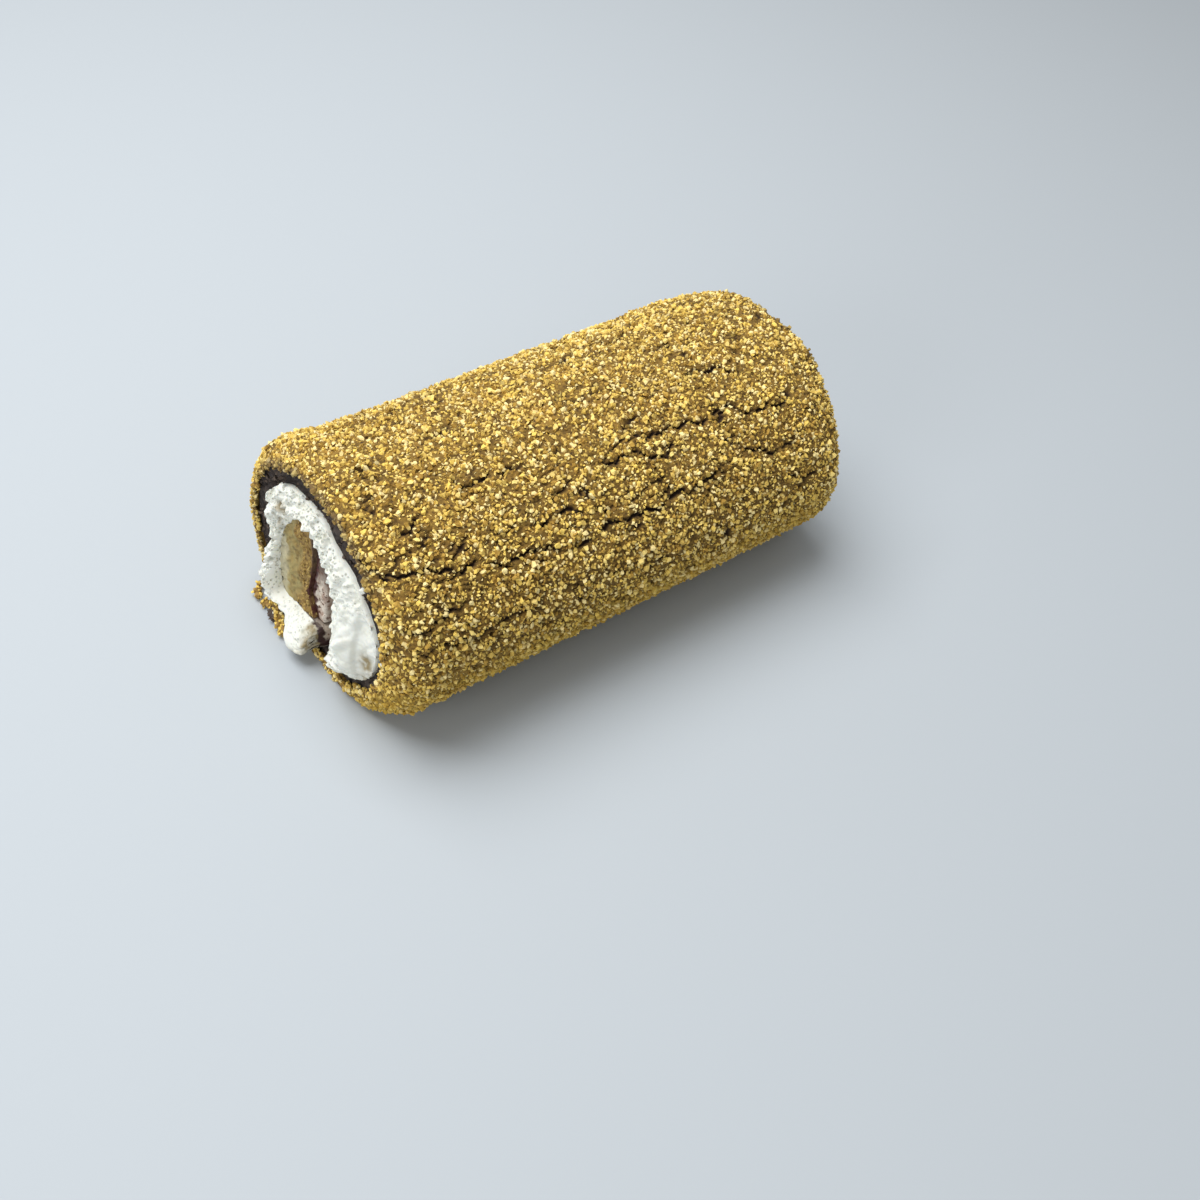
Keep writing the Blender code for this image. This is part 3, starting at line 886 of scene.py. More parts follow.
@dataclass(frozen=True)
class JamFinish(Finish):
    """Dark red jam, moist, with pulp in it, and a film of stained cream on its side."""

    name: str = "jam"
    dark: Colour = (0.022, 0.005, 0.004)
    red: Colour = (0.10, 0.016, 0.010)
    bruise: Colour = (0.05, 0.025, 0.018)
    film: Colour = (0.68, 0.61, 0.52)
    blush: Colour = (0.36, 0.25, 0.19)
    # mauve: the film's top, painted shade under the cream's arch
    mauve: Colour = (0.12, 0.075, 0.055)
    speck: Colour = (0.11, 0.045, 0.02)
    grain_size: float = 1.5
    patch_size: float = 5.0
    bruised: float = 0.8

    def wire(self, graph: Graph, surface: bpy.types.Node) -> None:
        """Pulp in two reds with duller patches, and the film where the mesh says so, turning dark mauve
        near the top as painted shade under the cream's arch.

        Args:
            graph: The material's graph.
            surface: Its Principled node.
        """
        place = graph.place()
        pulp = Effect.crumbs(graph, place, (self.dark, self.red, self.bruise),
                             (self.grain_size, self.patch_size), self.bruised)
        mottled = graph.mix(graph.ramp(graph.noise(place, 2.6, 3.0), 0.36, 0.62), self.blush, self.film)
        # Painted shade: the film turns mauve above about 35 mm, under the cream's arch
        film = graph.mix(graph.kept("pale"), self.mauve, mottled)
        specks = graph.ramp(graph.noise(place, 1.1, 2.0), 0.58, 0.66)
        specked = graph.mix(specks, film, self.speck)
        kept = graph.kept("film")
        colour = graph.mix(kept, pulp.outputs["Color"], specked)
        roughness = graph.math("ADD", 0.36, graph.times(kept, 0.3))
        self.connect(graph, surface, colour, pulp.outputs["Height"], 0.5, roughness)


class GrainKind(Enum):
    """Kinds of loose crumb on the coat, by colour."""

    PALE = "pale"
    STRAW = "straw"
    GOLDEN = "golden"
    TAN = "tan"
    TOASTED = "toasted"

    def finish(self) -> CrumbFinish:
        """The finish of this kind of crumb.

        Returns:
            The finish.
        """
        low, high = {
            GrainKind.PALE: ((0.87, 0.675, 0.25), (0.99, 0.84, 0.41)),
            GrainKind.STRAW: ((0.81, 0.60, 0.165), (0.98, 0.77, 0.26)),
            GrainKind.GOLDEN: ((0.69, 0.475, 0.087), (0.90, 0.655, 0.15)),
            GrainKind.TAN: ((0.55, 0.375, 0.075), (0.76, 0.545, 0.135)),
            GrainKind.TOASTED: ((0.30, 0.165, 0.025), (0.50, 0.315, 0.055)),
        }[self]
        return CrumbFinish(f"crumb_{self.value}", low, high)


@dataclass(frozen=True)
class Crack:
    """A crack that wanders along the coat between two clock angles, in degrees."""

    start: float
    end: float
    first: float
    last: float
    half_width: float = 0.40

    def line(self, x: Array) -> Array:
        """Clock angle of the crack, in degrees, at places along the roll.

        Args:
            x: Places along the roll.

        Returns:
            The clock angle at each place.
        """
        share = (x - self.start) / (self.end - self.start)
        wander = [5.0 * noise.noise(Vector((place / 11.0, self.first, 0.0)))
                  + 3.6 * noise.noise(Vector((place / 3.6, self.first, 4.0)))
                  + 2.0 * noise.noise(Vector((place / 1.4, self.first, 8.0))) for place in x]
        return self.first + (self.last - self.first) * share + np.array(wander)

    def share(self, x: Array, angle: Array, radius: float) -> Array:
        """How deep the crack is at places on the coat, from 0 to 1.

        Args:
            x: Places along the roll, one for each ring and side.
            angle: Clock angles of the same places.
            radius: Distance from the roll's axis.

        Returns:
            The share of the crack's depth.
        """
        known = np.linspace(self.start, self.end, 400)
        middle = np.interp(x, known, self.line(known))
        away = np.radians(np.degrees(angle) % 360.0 - middle) * radius
        ends = smooth(np.minimum(x - self.start, self.end - x) / 5.0)
        strength = [noise.noise(Vector((place / 4.5, self.last, 9.0))) for place in known]
        strength = np.interp(x, known, strength)
        width = self.half_width * (1.0 + 0.9 * strength)
        return ends * smooth(1.05 + 2.4 * strength) * np.exp(-(away / width) ** 2)


@dataclass
class CrumbCoat:
    """The coat: a craggy skin of pressed crumb, cracked along the roll."""

    form: RollForm
    sides: int = 440
    pitch: float = 0.8
    fine_span: Point = (75.0, 185.0)
    fineness: float = 2.6
    sunk: float = 0.5
    crag_depth: float = 1.2
    crag_size: float = 7.5
    crack_depth: float = 1.7
    jag: float = 1.6
    gap_share: float = 0.32
    collar_rise: float = 1.5
    collar_span: Point = (25.0, 85.0)
    lip_wear: float = 0.9
    cracks: tuple[Crack, ...] = (
        Crack(-73.0, -20.0, 129.0, 148.0, 0.42), Crack(-20.0, 34.0, 148.0, 146.0, 0.5),
        Crack(-62.0, -50.0, 117.0, 116.0), Crack(-42.0, -20.0, 111.0, 111.0),
        Crack(-29.0, -2.0, 132.0, 140.0), Crack(-69.0, -48.0, 156.0, 150.0),
        Crack(-68.0, -29.0, 165.0, 167.0), Crack(8.0, 63.0, 117.0, 130.0, 0.42),
        Crack(-5.0, 24.0, 123.0, 130.0), Crack(36.0, 58.0, 141.0, 147.0),
        Crack(31.0, 54.0, 103.0, 107.0), Crack(49.0, 66.0, 160.0, 165.0),
        Crack(-52.0, -8.0, 62.0, 55.0), Crack(2.0, 48.0, 72.0, 64.0),
        Crack(-30.0, 28.0, 33.0, 41.0, 0.5), Crack(22.0, 62.0, 18.0, 24.0),
        Crack(-66.0, -36.0, 22.0, 20.0),
    )

    def angles(self) -> Array:
        """Clock angles once round from the crown, closer together where the coat cracks most.

        Returns:
            The angles, in radians.
        """
        fine = np.linspace(90.0, 450.0, 3601)
        density = 1.0 + self.fineness * window(fine % 360.0, *self.fine_span, 20.0)
        total = np.concatenate([[0.0], np.cumsum(0.5 * (density[1:] + density[:-1]))])
        return np.radians(np.interp(np.arange(self.sides) * total[-1] / self.sides, total, fine))

    def stations(self) -> list[tuple[float, tuple[float, ...], float]]:
        """Depth, shoulder radii and share of the length for each ring.

        Returns:
            One row for each ring, from the near cut to the far one.
        """
        form = self.form
        near_bend, far_bend = max(form.near_shoulder), max(form.far_shoulder)
        straight = form.length - near_bend - far_bend
        steps = round(straight / self.pitch)
        near = [*(np.linspace(0.0, 1.0, 14) ** 1.7 * near_bend),
                *(near_bend + straight * np.arange(1, steps) / steps)]
        far = np.linspace(1.0, 0.0, 26) ** 1.6 * far_bend
        stations = [(depth, form.near_shoulder, depth / form.length) for depth in near]
        return stations + [(depth, form.far_shoulder, 1.0 - depth / form.length) for depth in far]

    def fine_cracks(self, rings: Array) -> Array:
        """Short branching cracks between the long ones, from 0 to 1.

        Args:
            rings: The outer rings.

        Returns:
            The crack's share at each point.
        """
        stretched = rings * np.array([0.45, 1.0, 1.0])
        bent = stretched + 1.1 * lumps(rings, 1.7, 3.0)[..., None]
        ridge = np.abs(lumps(bent, 4.4, 21.0))
        where = smooth((lumps(rings, 8.0, 31.0) - 0.06) / 0.16)
        where = where * (0.3 + 0.7 * smooth((rings[..., 2] - 14.0) / 16.0))
        return 0.65 * smooth(1.0 - ridge / 0.07) * where

    def relief(self, rings: Array, bend: Array) -> tuple[Array, Array]:
        """Depth of the coat below its outline, and how much of that is crack.

        Args:
            rings: The outer rings.
            bend: How far each point's ring has rounded over.

        Returns:
            The depth in millimetres and the crack's share, for each point.
        """
        angle = np.broadcast_to(self.angles(), rings.shape[:2])
        crags = self.crag_depth * (0.5 - 0.2 * lumps(rings, self.crag_size)
                                   - 0.15 * lumps(rings + np.array([0.0, 0.0, 50.0]),
                                                  0.45 * self.crag_size))
        grain = 0.30 * lumps(rings, 1.7) + 0.2 * lumps(rings, 0.9, 7.0)
        crack = self.fine_cracks(rings)
        for line in self.cracks:
            crack = np.maximum(crack, line.share(rings[..., 0], angle, 0.45 * self.form.width))
        behind = rings[..., 0] - self.form.near_cut(rings[..., 1], rings[..., 2])
        turn = np.degrees(angle) % 360.0
        collar = self.collar_rise * window(turn, *self.collar_span, 25.0) * smooth((behind - 1.5) / 4.0)
        collar = collar * (1.0 - smooth((behind - 8.0) / 12.0))
        worn = self.lip_wear * (1.0 - smooth((turn - 50.0) / 40.0)) * (1.0 - smooth((behind - 1.0) / 8.0))
        hollow = self.sunk + worn * smooth((rings[..., 2] - 20.0) / 12.0) - collar
        gaps = smooth(1.0 - np.abs(lumps(rings, 1.5, 27.0)) / 0.14)
        crack = np.maximum(crack, self.gap_share * gaps * smooth(0.65 + 1.2 * lumps(rings, 4.0, 33.0)))
        return crags * bend + grain + self.crack_depth * crack + hollow, crack

    def lip_band(self, near: bool) -> Array:
        """Rings of the lip's face, from its jagged inner edge outwards.

        Args:
            near: Whether it is the near cut.

        Returns:
            The rings.
        """
        form = self.form
        angle = self.angles()
        inner = np.stack(form.sheet_outline(angle, 0.0, 0.0))
        edge = form.face(near, *inner, 0.0)
        jagged = lumps(edge, 2.2, 5.0) + 0.7 * lumps(edge, 0.9, 2.0)
        inner = np.stack(form.sheet_outline(angle, 0.0, self.jag * np.clip(0.45 + 1.1 * jagged, 0.0, 1.6)))
        outer = np.stack(form.coat_outline(angle, 0.0, form.near_shoulder))
        rings = []
        for share in (0.0, 0.25, 0.5, 0.75):
            y, z = inner + (outer - inner) * share
            flat = form.face(near, y, z, 0.0)
            out = (0.55 + 0.7 * lumps(flat, 1.6, 9.0)) * math.sin(math.pi * (0.15 + 0.7 * share))
            rings.append(form.face(near, y, z, out))
        return np.array(rings)

    def build(self) -> bpy.types.Object:
        """Build the coat's skin, closed through the hidden inside.

        Returns:
            The piece.
        """
        form = self.form
        angle = self.angles()
        rings = np.array([form.ring(form.coat_outline(angle, depth, shoulder), share)
                          for depth, shoulder, share in self.stations()])
        bend = np.array([form.rounding(angle, depth, shoulder) for depth, shoulder, _ in self.stations()])
        # The crack share deepens the relief, and the finish paints it near black as shade
        depth, crack = self.relief(rings, bend)
        lift = smooth(rings[..., 2] / 5.0)
        # One near the bottom, fading by 36 mm: pressed crumb there, and a painted shade tint
        press_and_shade = 1.0 - smooth((rings[..., 2] - 10.0) / 26.0)
        rings[..., 1] -= depth * lift * np.cos(angle)
        rings[..., 2] = np.maximum(rings[..., 2] - depth * lift * np.sin(angle), 0.0)
        near, far = self.lip_band(True), self.lip_band(False)[::-1]
        inside = np.array([form.ring(form.sheet_outline(angle, depth, -0.5 * form.gap), share)
                           for depth, share in reversed(form.inner_stations())])
        mesh = MeshMaker.from_rings("coat_skin", np.concatenate([near, rings, far, inside]), True)
        band = np.zeros(near.shape[:2])
        hidden = np.zeros(inside.shape[:2])
        turn = np.degrees(angle) % 360.0
        # The lip and the rim near the crown get a chocolate tint and painted shade
        rim = 0.1 + 0.7 * window(turn, 60.0, 125.0, 40.0)
        rim = rim + 0.3 * window((turn + 90.0) % 360.0, 60.0, 130.0, 30.0)
        cocoa_and_shade = rim * np.clip(1.0 - bend / 0.3, 0.0, 1.0)
        thinned = 1.0 - 0.12 * smooth(2.0 * lumps(rings, 3.0, 17.0))
        cover = thinned * (1.0 - smooth((crack - 0.1) / 0.15)) * smooth((rings[..., 2] - 0.9) / 0.6)
        MeshMaker.add_values(mesh, {
            "crack": (band, crack, band, hidden), "press_and_shade": (band, press_and_shade, band, hidden),
            "cover": (band + 0.8, cover, band + 0.8, hidden),
            "cocoa_and_shade": (band + rim, cocoa_and_shade, band + rim, hidden)})
        # The skin's crumb brown is kept dark because it shows only between the loose grains: painted shade
        # in the gaps
        finish = CrumbFinish("coat_crumb", (0.10, 0.052, 0.009), (0.30, 0.18, 0.03), pores=0.95)
        return MeshMaker.piece("coat_skin", mesh, finish.material())


@dataclass
class ChocolateSheet:
    """The rolled chocolate sponge, with an open-crumbed cut face at each end."""

    form: RollForm
    sides: int = 420
    face_steps: int = 20

    def face(self, near: bool) -> Array:
        """The cut face's rings, from the coat inwards.

        Args:
            near: Whether it is the near cut's face.

        Returns:
            The rings.
        """
        form = self.form
        angle = form.angles(self.sides)
        outer = np.stack(form.sheet_outline(angle, 0.0, 0.5 * form.gap))
        inner = np.stack(form.cream_outline(angle, 0.0, -0.5 * form.gap))
        share = np.linspace(0.0, 1.0, self.face_steps)[:, None]
        y = outer[0] + (inner[0] - outer[0]) * share
        z = outer[1] + (inner[1] - outer[1]) * share
        flat = form.face(near, y, z, 0.0)
        dips = 1.1 * pits(flat, 1.9, 0.55) + 0.7 * lumps(flat, 2.2) + 0.4 * lumps(flat, 0.9)
        groove = 1.7 * window(share, 0.74, 0.93, 0.1) * smooth(0.6 + 1.5 * lumps(flat, 4.5, 12.0))
        back = form.sheet_set_back + np.sin(np.pi * share) * np.maximum(dips, -0.5) + groove
        return form.face(near, y, z, -back)

    def build(self) -> bpy.types.Object:
        """Build the sheet as one hollow tube.

        Returns:
            The piece.
        """
        form = self.form
        angle = form.angles(self.sides)
        stations = form.inner_stations()[2:-2]
        outside = [form.ring(form.sheet_outline(angle, depth, 0.5 * form.gap), share)
                   for depth, share in stations]
        inside = [form.ring(form.cream_outline(angle, depth, -0.5 * form.gap), share)
                  for depth, share in reversed(stations)]
        near, far = self.face(True)[::-1], self.face(False)
        mesh = MeshMaker.from_rings("chocolate_sheet", np.concatenate([near, outside, far, inside]), True)
        shown = [smooth(1.5 * lumps(rings, 5.0, 2.0) + 0.3) for rings in (near, far)]
        hidden = np.zeros((len(stations), self.sides))
        MeshMaker.add_values(mesh, {"cover": (shown[0], hidden, shown[1], hidden)})
        # The last colour, near black, is the painted shade inside the pores
        finish = SpongeFinish("chocolate_crumb", (0.007, 0.004, 0.004), (0.052, 0.036, 0.030),
                              (0.10, 0.076, 0.062), (0.30, 0.25, 0.20), (0.003, 0.002, 0.002))
        return MeshMaker.piece("chocolate_sheet", mesh, finish.material())


@dataclass
class WhippedCream:
    """The cream: an arch with swollen arms, a spatula's ridge, and a pushed-out foot."""

    form: RollForm
    sides: int = 420
    face_steps: int = 72
    arm_swell: float = 1.8
    fold_swell: float = 3.0
    fold_place: Point = (-13.0, 23.0)
    fold_spread: float = 9.0
    foot_rise: float = 0.2
    push_span: Point = (1.5, 7.5)
    foot_droop: float = 3.6
    droop_span: Point = (2.0, 12.0)
    droop_edge: float = 6.0
    spread: float = 1.6
    spread_span: Point = (14.0, 22.0)
    clearance: float = 0.6
    rag: float = 1.5
    rag_width: float = 4.0
    ridge: float = 1.5
    ridge_span: Point = (15.0, 40.0)
    fold_height: float = 2.2
    grain_height: float = 0.6
    swell_height: float = 0.7
    pit_depths: Point = (1.3, 0.6)
    smoothed: tuple[tuple[Point, Point], ...] = (((-20.0, 27.0), (9.0, 14.0)), ((9.0, 7.0), (10.0, 5.0)))
    brown_pits: tuple[tuple[float, Point, Point], ...] = (
        (2.4, (17.5, 44.7), (2.0, 1.3)), (1.2, (19.6, 38.4), (0.9, 1.8)))
    stains: tuple[tuple[float, Point, Point], ...] = (
        (1.2, (-22.8, 23.0), (2.1, 3.6)), (0.8, (-22.4, 15.6), (2.8, 2.4)), (1.4, (17.5, 44.7), (2.2, 1.6)),
        (0.8, (19.6, 38.4), (1.2, 2.2)), (0.35, (14.0, 46.5), (3.5, 1.6)), (0.35, (16.5, 13.0), (4.0, 1.2)),
        (1.0, (1.2, 8.5), (1.3, 5.0)), (0.5, (4.0, 4.0), (4.0, 1.4)))

    def reach(self, y: Array, z: Array, share: Array, foot: float) -> Array:
        """How far the cream stands out of the cut.

        Args:
            y: Places across the cut.
            z: Heights on the cut.
            share: Share of the way from the sheet to the slab.
            foot: Reach of the pushed-out foot.

        Returns:
            The distance out of the cut.
        """
        arch = np.sin(math.pi * share)
        away = np.hypot(y - self.fold_place[0], 0.7 * (z - self.fold_place[1])) / self.fold_spread
        fold = self.fold_swell * np.exp(-away * away) * arch
        extra = foot * np.maximum(self.form.foot_share(y, z) - self.form.crushed_share(y, z), 0.0)
        rim = smooth(share / self.foot_rise) * smooth((1.0 - share) / self.foot_rise)
        ridge = self.ridge * smooth((-19.0 - y) / 0.9) * smooth((y + 29.0) / 6.0)
        ridge = ridge * window(z, *self.ridge_span, 6.0)
        notch = self.form.notch_share(y, z)
        swell = self.arm_swell * arch + fold + extra * rim - ridge * arch
        return swell * (1.0 - notch) - self.form.notch_depth * notch

    def torn(self, y: Array, z: Array) -> Array:
        """How torn and porous the cream is, from 0 where a spatula smoothed it to 1."""
        smoothed = np.maximum(*(spot(y, z, *place) for place in self.smoothed))
        return 1.0 - 0.9 * np.clip(1.3 * smoothed, 0.0, 1.0)

    def face(self, near: bool) -> tuple[Array, Array]:
        """The cut face's rings from the sheet to the slab, and how torn each point is.

        Args:
            near: Whether it is the near cut's face.

        Returns:
            The rings, and one value for each of their points.
        """
        form = self.form
        outer = np.stack(form.cream_outline(form.angles(self.sides), 0.0, 0.5 * form.gap))
        inner = np.stack(form.hole_outline(self.sides, 0.0))
        share = np.linspace(0.0, 1.0, self.face_steps + 2)[1:-1, None]
        rim = np.stack([np.zeros(self.sides), *outer], axis=-1)
        jagged = lumps(rim, 1.9, 19.0) + 0.6 * lumps(rim, 0.9, 23.0)
        across = np.hypot(*(inner - outer))
        ragged = self.rag * jagged / across * smooth(1.0 - share * across / self.rag_width)
        moved = share - ragged * smooth(share / 0.02)
        y = outer[0] + (inner[0] - outer[0]) * moved
        z = outer[1] + (inner[1] - outer[1]) * moved
        flat = np.stack([np.zeros_like(y), y, z], axis=-1)
        torn = self.torn(y, z)
        edge = smooth(share / 0.07) * smooth((1.0 - share) / 0.05)
        angle = np.broadcast_to(form.angles(self.sides), y.shape)
        flow = np.stack([9.0 * np.cos(angle), 9.0 * np.sin(angle), 9.0 * share + 0.0 * y], axis=-1)
        flow += 0.8 * np.stack([lumps(flat, 4.0, shift) for shift in (11.0, 13.0, 17.0)], axis=-1)
        folds = 1.1 * np.abs(lumps(flow, 3.0, 1.0)) + 0.8 * np.abs(lumps(flow + 0.5 * flat, 2.4, 3.0))
        rough = self.fold_height * (folds - 0.35) * (0.5 + 0.5 * torn)
        rough = rough + self.grain_height * lumps(flat, 1.1, 5.0) * (0.2 + 0.8 * torn)
        rough = rough + self.swell_height * lumps(flat, 6.0, 7.0)
        holes = self.pit_depths[0] * pits(flat, 2.7, 0.42) + self.pit_depths[1] * pits(flat, 1.3, 0.42)
        holes = holes * torn + sum(depth * spot(y, z, *place) for depth, *place in self.brown_pits)
        out = self.reach(y, z, share, form.near_foot if near else form.far_foot) + (rough - holes) * edge
        points = form.face(near, y, z, out)
        pushed = smooth((out - self.push_span[0]) / (self.push_span[1] - self.push_span[0]))
        droop = window(y, *self.droop_span, self.droop_edge) * pushed
        low, high = self.spread_span
        points[..., 1] += self.spread * smooth((y - low) / (high - low)) * pushed
        points[..., 2] = np.maximum(z - self.foot_droop * droop, self.clearance)
        return points, torn

    def stain(self, rings: Array) -> Array:
        """How stained by sponge the cream is at each point."""
        y, z = rings[..., 1], rings[..., 2]
        return np.clip(sum(strength * spot(y, z, *place) for strength, *place in self.stains), 0.0, 1.0)

    def flank(self, rings: Array) -> Array:
        """Where the film on the flanks of the notch is, from 0 to 1."""
        return window(rings[..., 1], -5.4, 3.4, 1.6) * smooth((17.5 - rings[..., 2]) / 1.5)

    def build(self) -> bpy.types.Object:
        """Build the cream as one tube round the slab.

        Returns:
            The piece.
        """
        form = self.form
        angle = form.angles(self.sides)
        outside = np.array([
            form.notched_ring(form.cream_outline(angle, depth, 0.5 * form.gap), depth, share)
            for depth, share in form.inner_stations()])
        depths = tuple(np.linspace(0.0, form.hollow_depth, 12))
        hole = np.array([form.notched_ring(form.hole_outline(self.sides, depth), depth, share)
                         for depth, share in form.stations(depths)])[::-1]
        near, near_torn = self.face(True)
        far, far_torn = self.face(False)
        rings = np.concatenate([outside, far, hole, near[::-1]])
        mesh = MeshMaker.from_rings("whipped_cream_body", rings, True)
        quiet = np.zeros(outside.shape[:2])
        wall = np.ones(hole.shape[:2])
        # The hollow's low floor, painted near black as shade
        floor = smooth((14.5 - hole[..., 2]) / 2.0) * smooth((8.0 - hole[..., 1]) / 3.0)
        clean = np.zeros(far_torn.shape)
        MeshMaker.add_values(mesh, {
            "torn": (quiet, far_torn, wall, near_torn[::-1]), "stain": (self.stain(rings),),
            "blush": (quiet, self.flank(far), 0.85 * wall, self.flank(near[::-1])),
            "recess_shade": (quiet, clean, 0.8 * floor, clean)})
        return MeshMaker.piece("whipped_cream_body", mesh, CreamFinish().material())


@dataclass
class SlabLayer:
    """A layer of the slab in the middle, closed by a crumbly or pulpy face at each end."""

    form: RollForm
    name: str
    outline: Array
    set_back: float
    lump: float
    skirt: float = 0.0
    knob: float = 0.0
    knob_place: tuple[Point, Point] = ((9.9, 41.0), (3.0, 3.4))
    dent_place: tuple[Point, Point] = ((10.6, 35.5), (1.2, 1.2))
    film_edge: float = -0.9
    face_steps: int = 40
    film_depths: tuple[float, ...] = (2.2, 3.0, 4.0, 5.2, 6.5, 8.0, 9.6, 11.4, 13.4, 15.6)

    def face(self, near: bool) -> Array:
        """The face's rings, from its rim inwards.

        Args:
            near: Whether it is the near cut.

        Returns:
            The rings, after the apron's if the layer has one.
        """
        middle = self.outline.mean(axis=0)
        size = np.linspace(1.0, 0.04, self.face_steps)[:, None]
        y = middle[0] + (self.outline[:, 0] - middle[0]) * size
        z = middle[1] + (self.outline[:, 1] - middle[1]) * size
        flat = self.form.face(near, y, z, 0.0)
        edge = smooth((1.0 - size) * 6.0)
        relief = lumps(flat, 4.5) + 0.7 * lumps(flat, 1.9, 2.0) + 0.4 * lumps(flat, 0.9, 5.0)
        back = self.set_back + self.lump * relief * edge + 0.6 * pits(flat, 1.8, 0.5) * edge
        back = back - self.knob * spot(y, z, *self.knob_place)
        back = back + self.knob * spot(y, z, *self.dent_place)
        rings = self.form.face(near, y, z, -back)
        return np.concatenate([self.apron(near), rings]) if self.skirt else rings

    def apron(self, near: bool) -> Array:
        """Rings of a ragged apron that laps over the cream on the layer's left and top.

        Args:
            near: Whether it is the near cut.

        Returns:
            The rings.
        """
        y, z = self.outline.T
        flat = self.form.face(near, y, z, 0.0)
        ragged = np.clip(0.55 + 1.3 * lumps(flat, 2.4, 4.0), 0.0, 1.6)
        lapped = smooth((y - 7.0) / 2.5) * self.skirt * ragged
        rings = []
        for reach, out in ((1.0, -0.5), (1.0, 0.1), (0.7, 0.45), (0.35, 0.5)):
            wide = offset(self.outline, 1.0) - self.outline
            placed = self.outline + wide * (lapped * reach)[:, None]
            height = out * smooth(lapped / 0.4) + 0.25 * lumps(flat, 1.5, 8.0)
            rings.append(self.form.face(near, placed[:, 0], placed[:, 1], height - 0.3))
        return np.array(rings)

    def sides(self) -> tuple[Array, Array]:
        """Rings down the layer's sides, lumpy where the hollow opens, and their film.

        Returns:
            The rings, and the film's share at each of their points.
        """
        form = self.form
        y, z = self.outline.T
        open_side = smooth((3.4 - y) / 1.6) * window(z, 15.0, 37.0, 4.0)
        rings, film = [], []
        for depth, share in form.stations(self.film_depths):
            flat = form.ring((y, z), share)
            shown = open_side * (1.0 - smooth((depth - 12.0) / 4.0))
            flat[..., 1] -= shown * (0.35 + 0.6 * lumps(flat, 3.0, 6.0) + 0.3 * lumps(flat, 1.1, 1.0))
            rings.append(flat)
            film.append(shown * smooth((depth - 1.6) / 0.8))
        return np.array(rings), np.array(film)

    def build(self, finish: Finish, smear: Point | None = None) -> bpy.types.Object:
        """Build the layer.

        Args:
            finish: Its finish.
            smear: y where the cream smeared over it starts, and where it is full.

        Returns:
            The piece.
        """
        near, far = self.face(True)[::-1], self.face(False)
        sides, film = self.sides()
        rings = np.concatenate([near, sides, far])
        mesh = MeshMaker.from_rings(self.name, rings, False)
        shown = np.zeros(rings.shape[:2])
        if smear:
            broken = rings[..., 1] + 2.6 * lumps(rings, 5.0, 8.0)
            low, high = smear
            shown = 0.8 * smooth((broken - low) / (high - low)) + 0.2 * smooth((broken - 17.0) / 3.0)
        cut = np.ones(near.shape[:2])
        cover = np.concatenate([cut, np.zeros(film.shape), cut]) * (1.0 - smooth(2.0 * shown))
        past = self.form.past_seam(rings[..., 1], rings[..., 2]) + 0.8 * lumps(rings, 3.0, 2.0)
        faces = smooth((self.film_edge - past) / 0.7)
        film = np.concatenate([faces[:len(near)], film, faces[-len(far):]])
        # pale is one below about 26 mm and nothing above 35 mm; on the jam's film the dark mauve above is
        # painted shade under the cream's arch
        MeshMaker.add_values(mesh, {
            "smear": (shown,), "cover": (cover * smooth((past - 0.2) / 0.5),), "film": (film,),
            "pale": (smooth((35.0 - rings[..., 2]) / 9.0),), "jam": (smooth((0.75 - past) / 0.5),)})
        return MeshMaker.piece(self.name, mesh, finish.material())


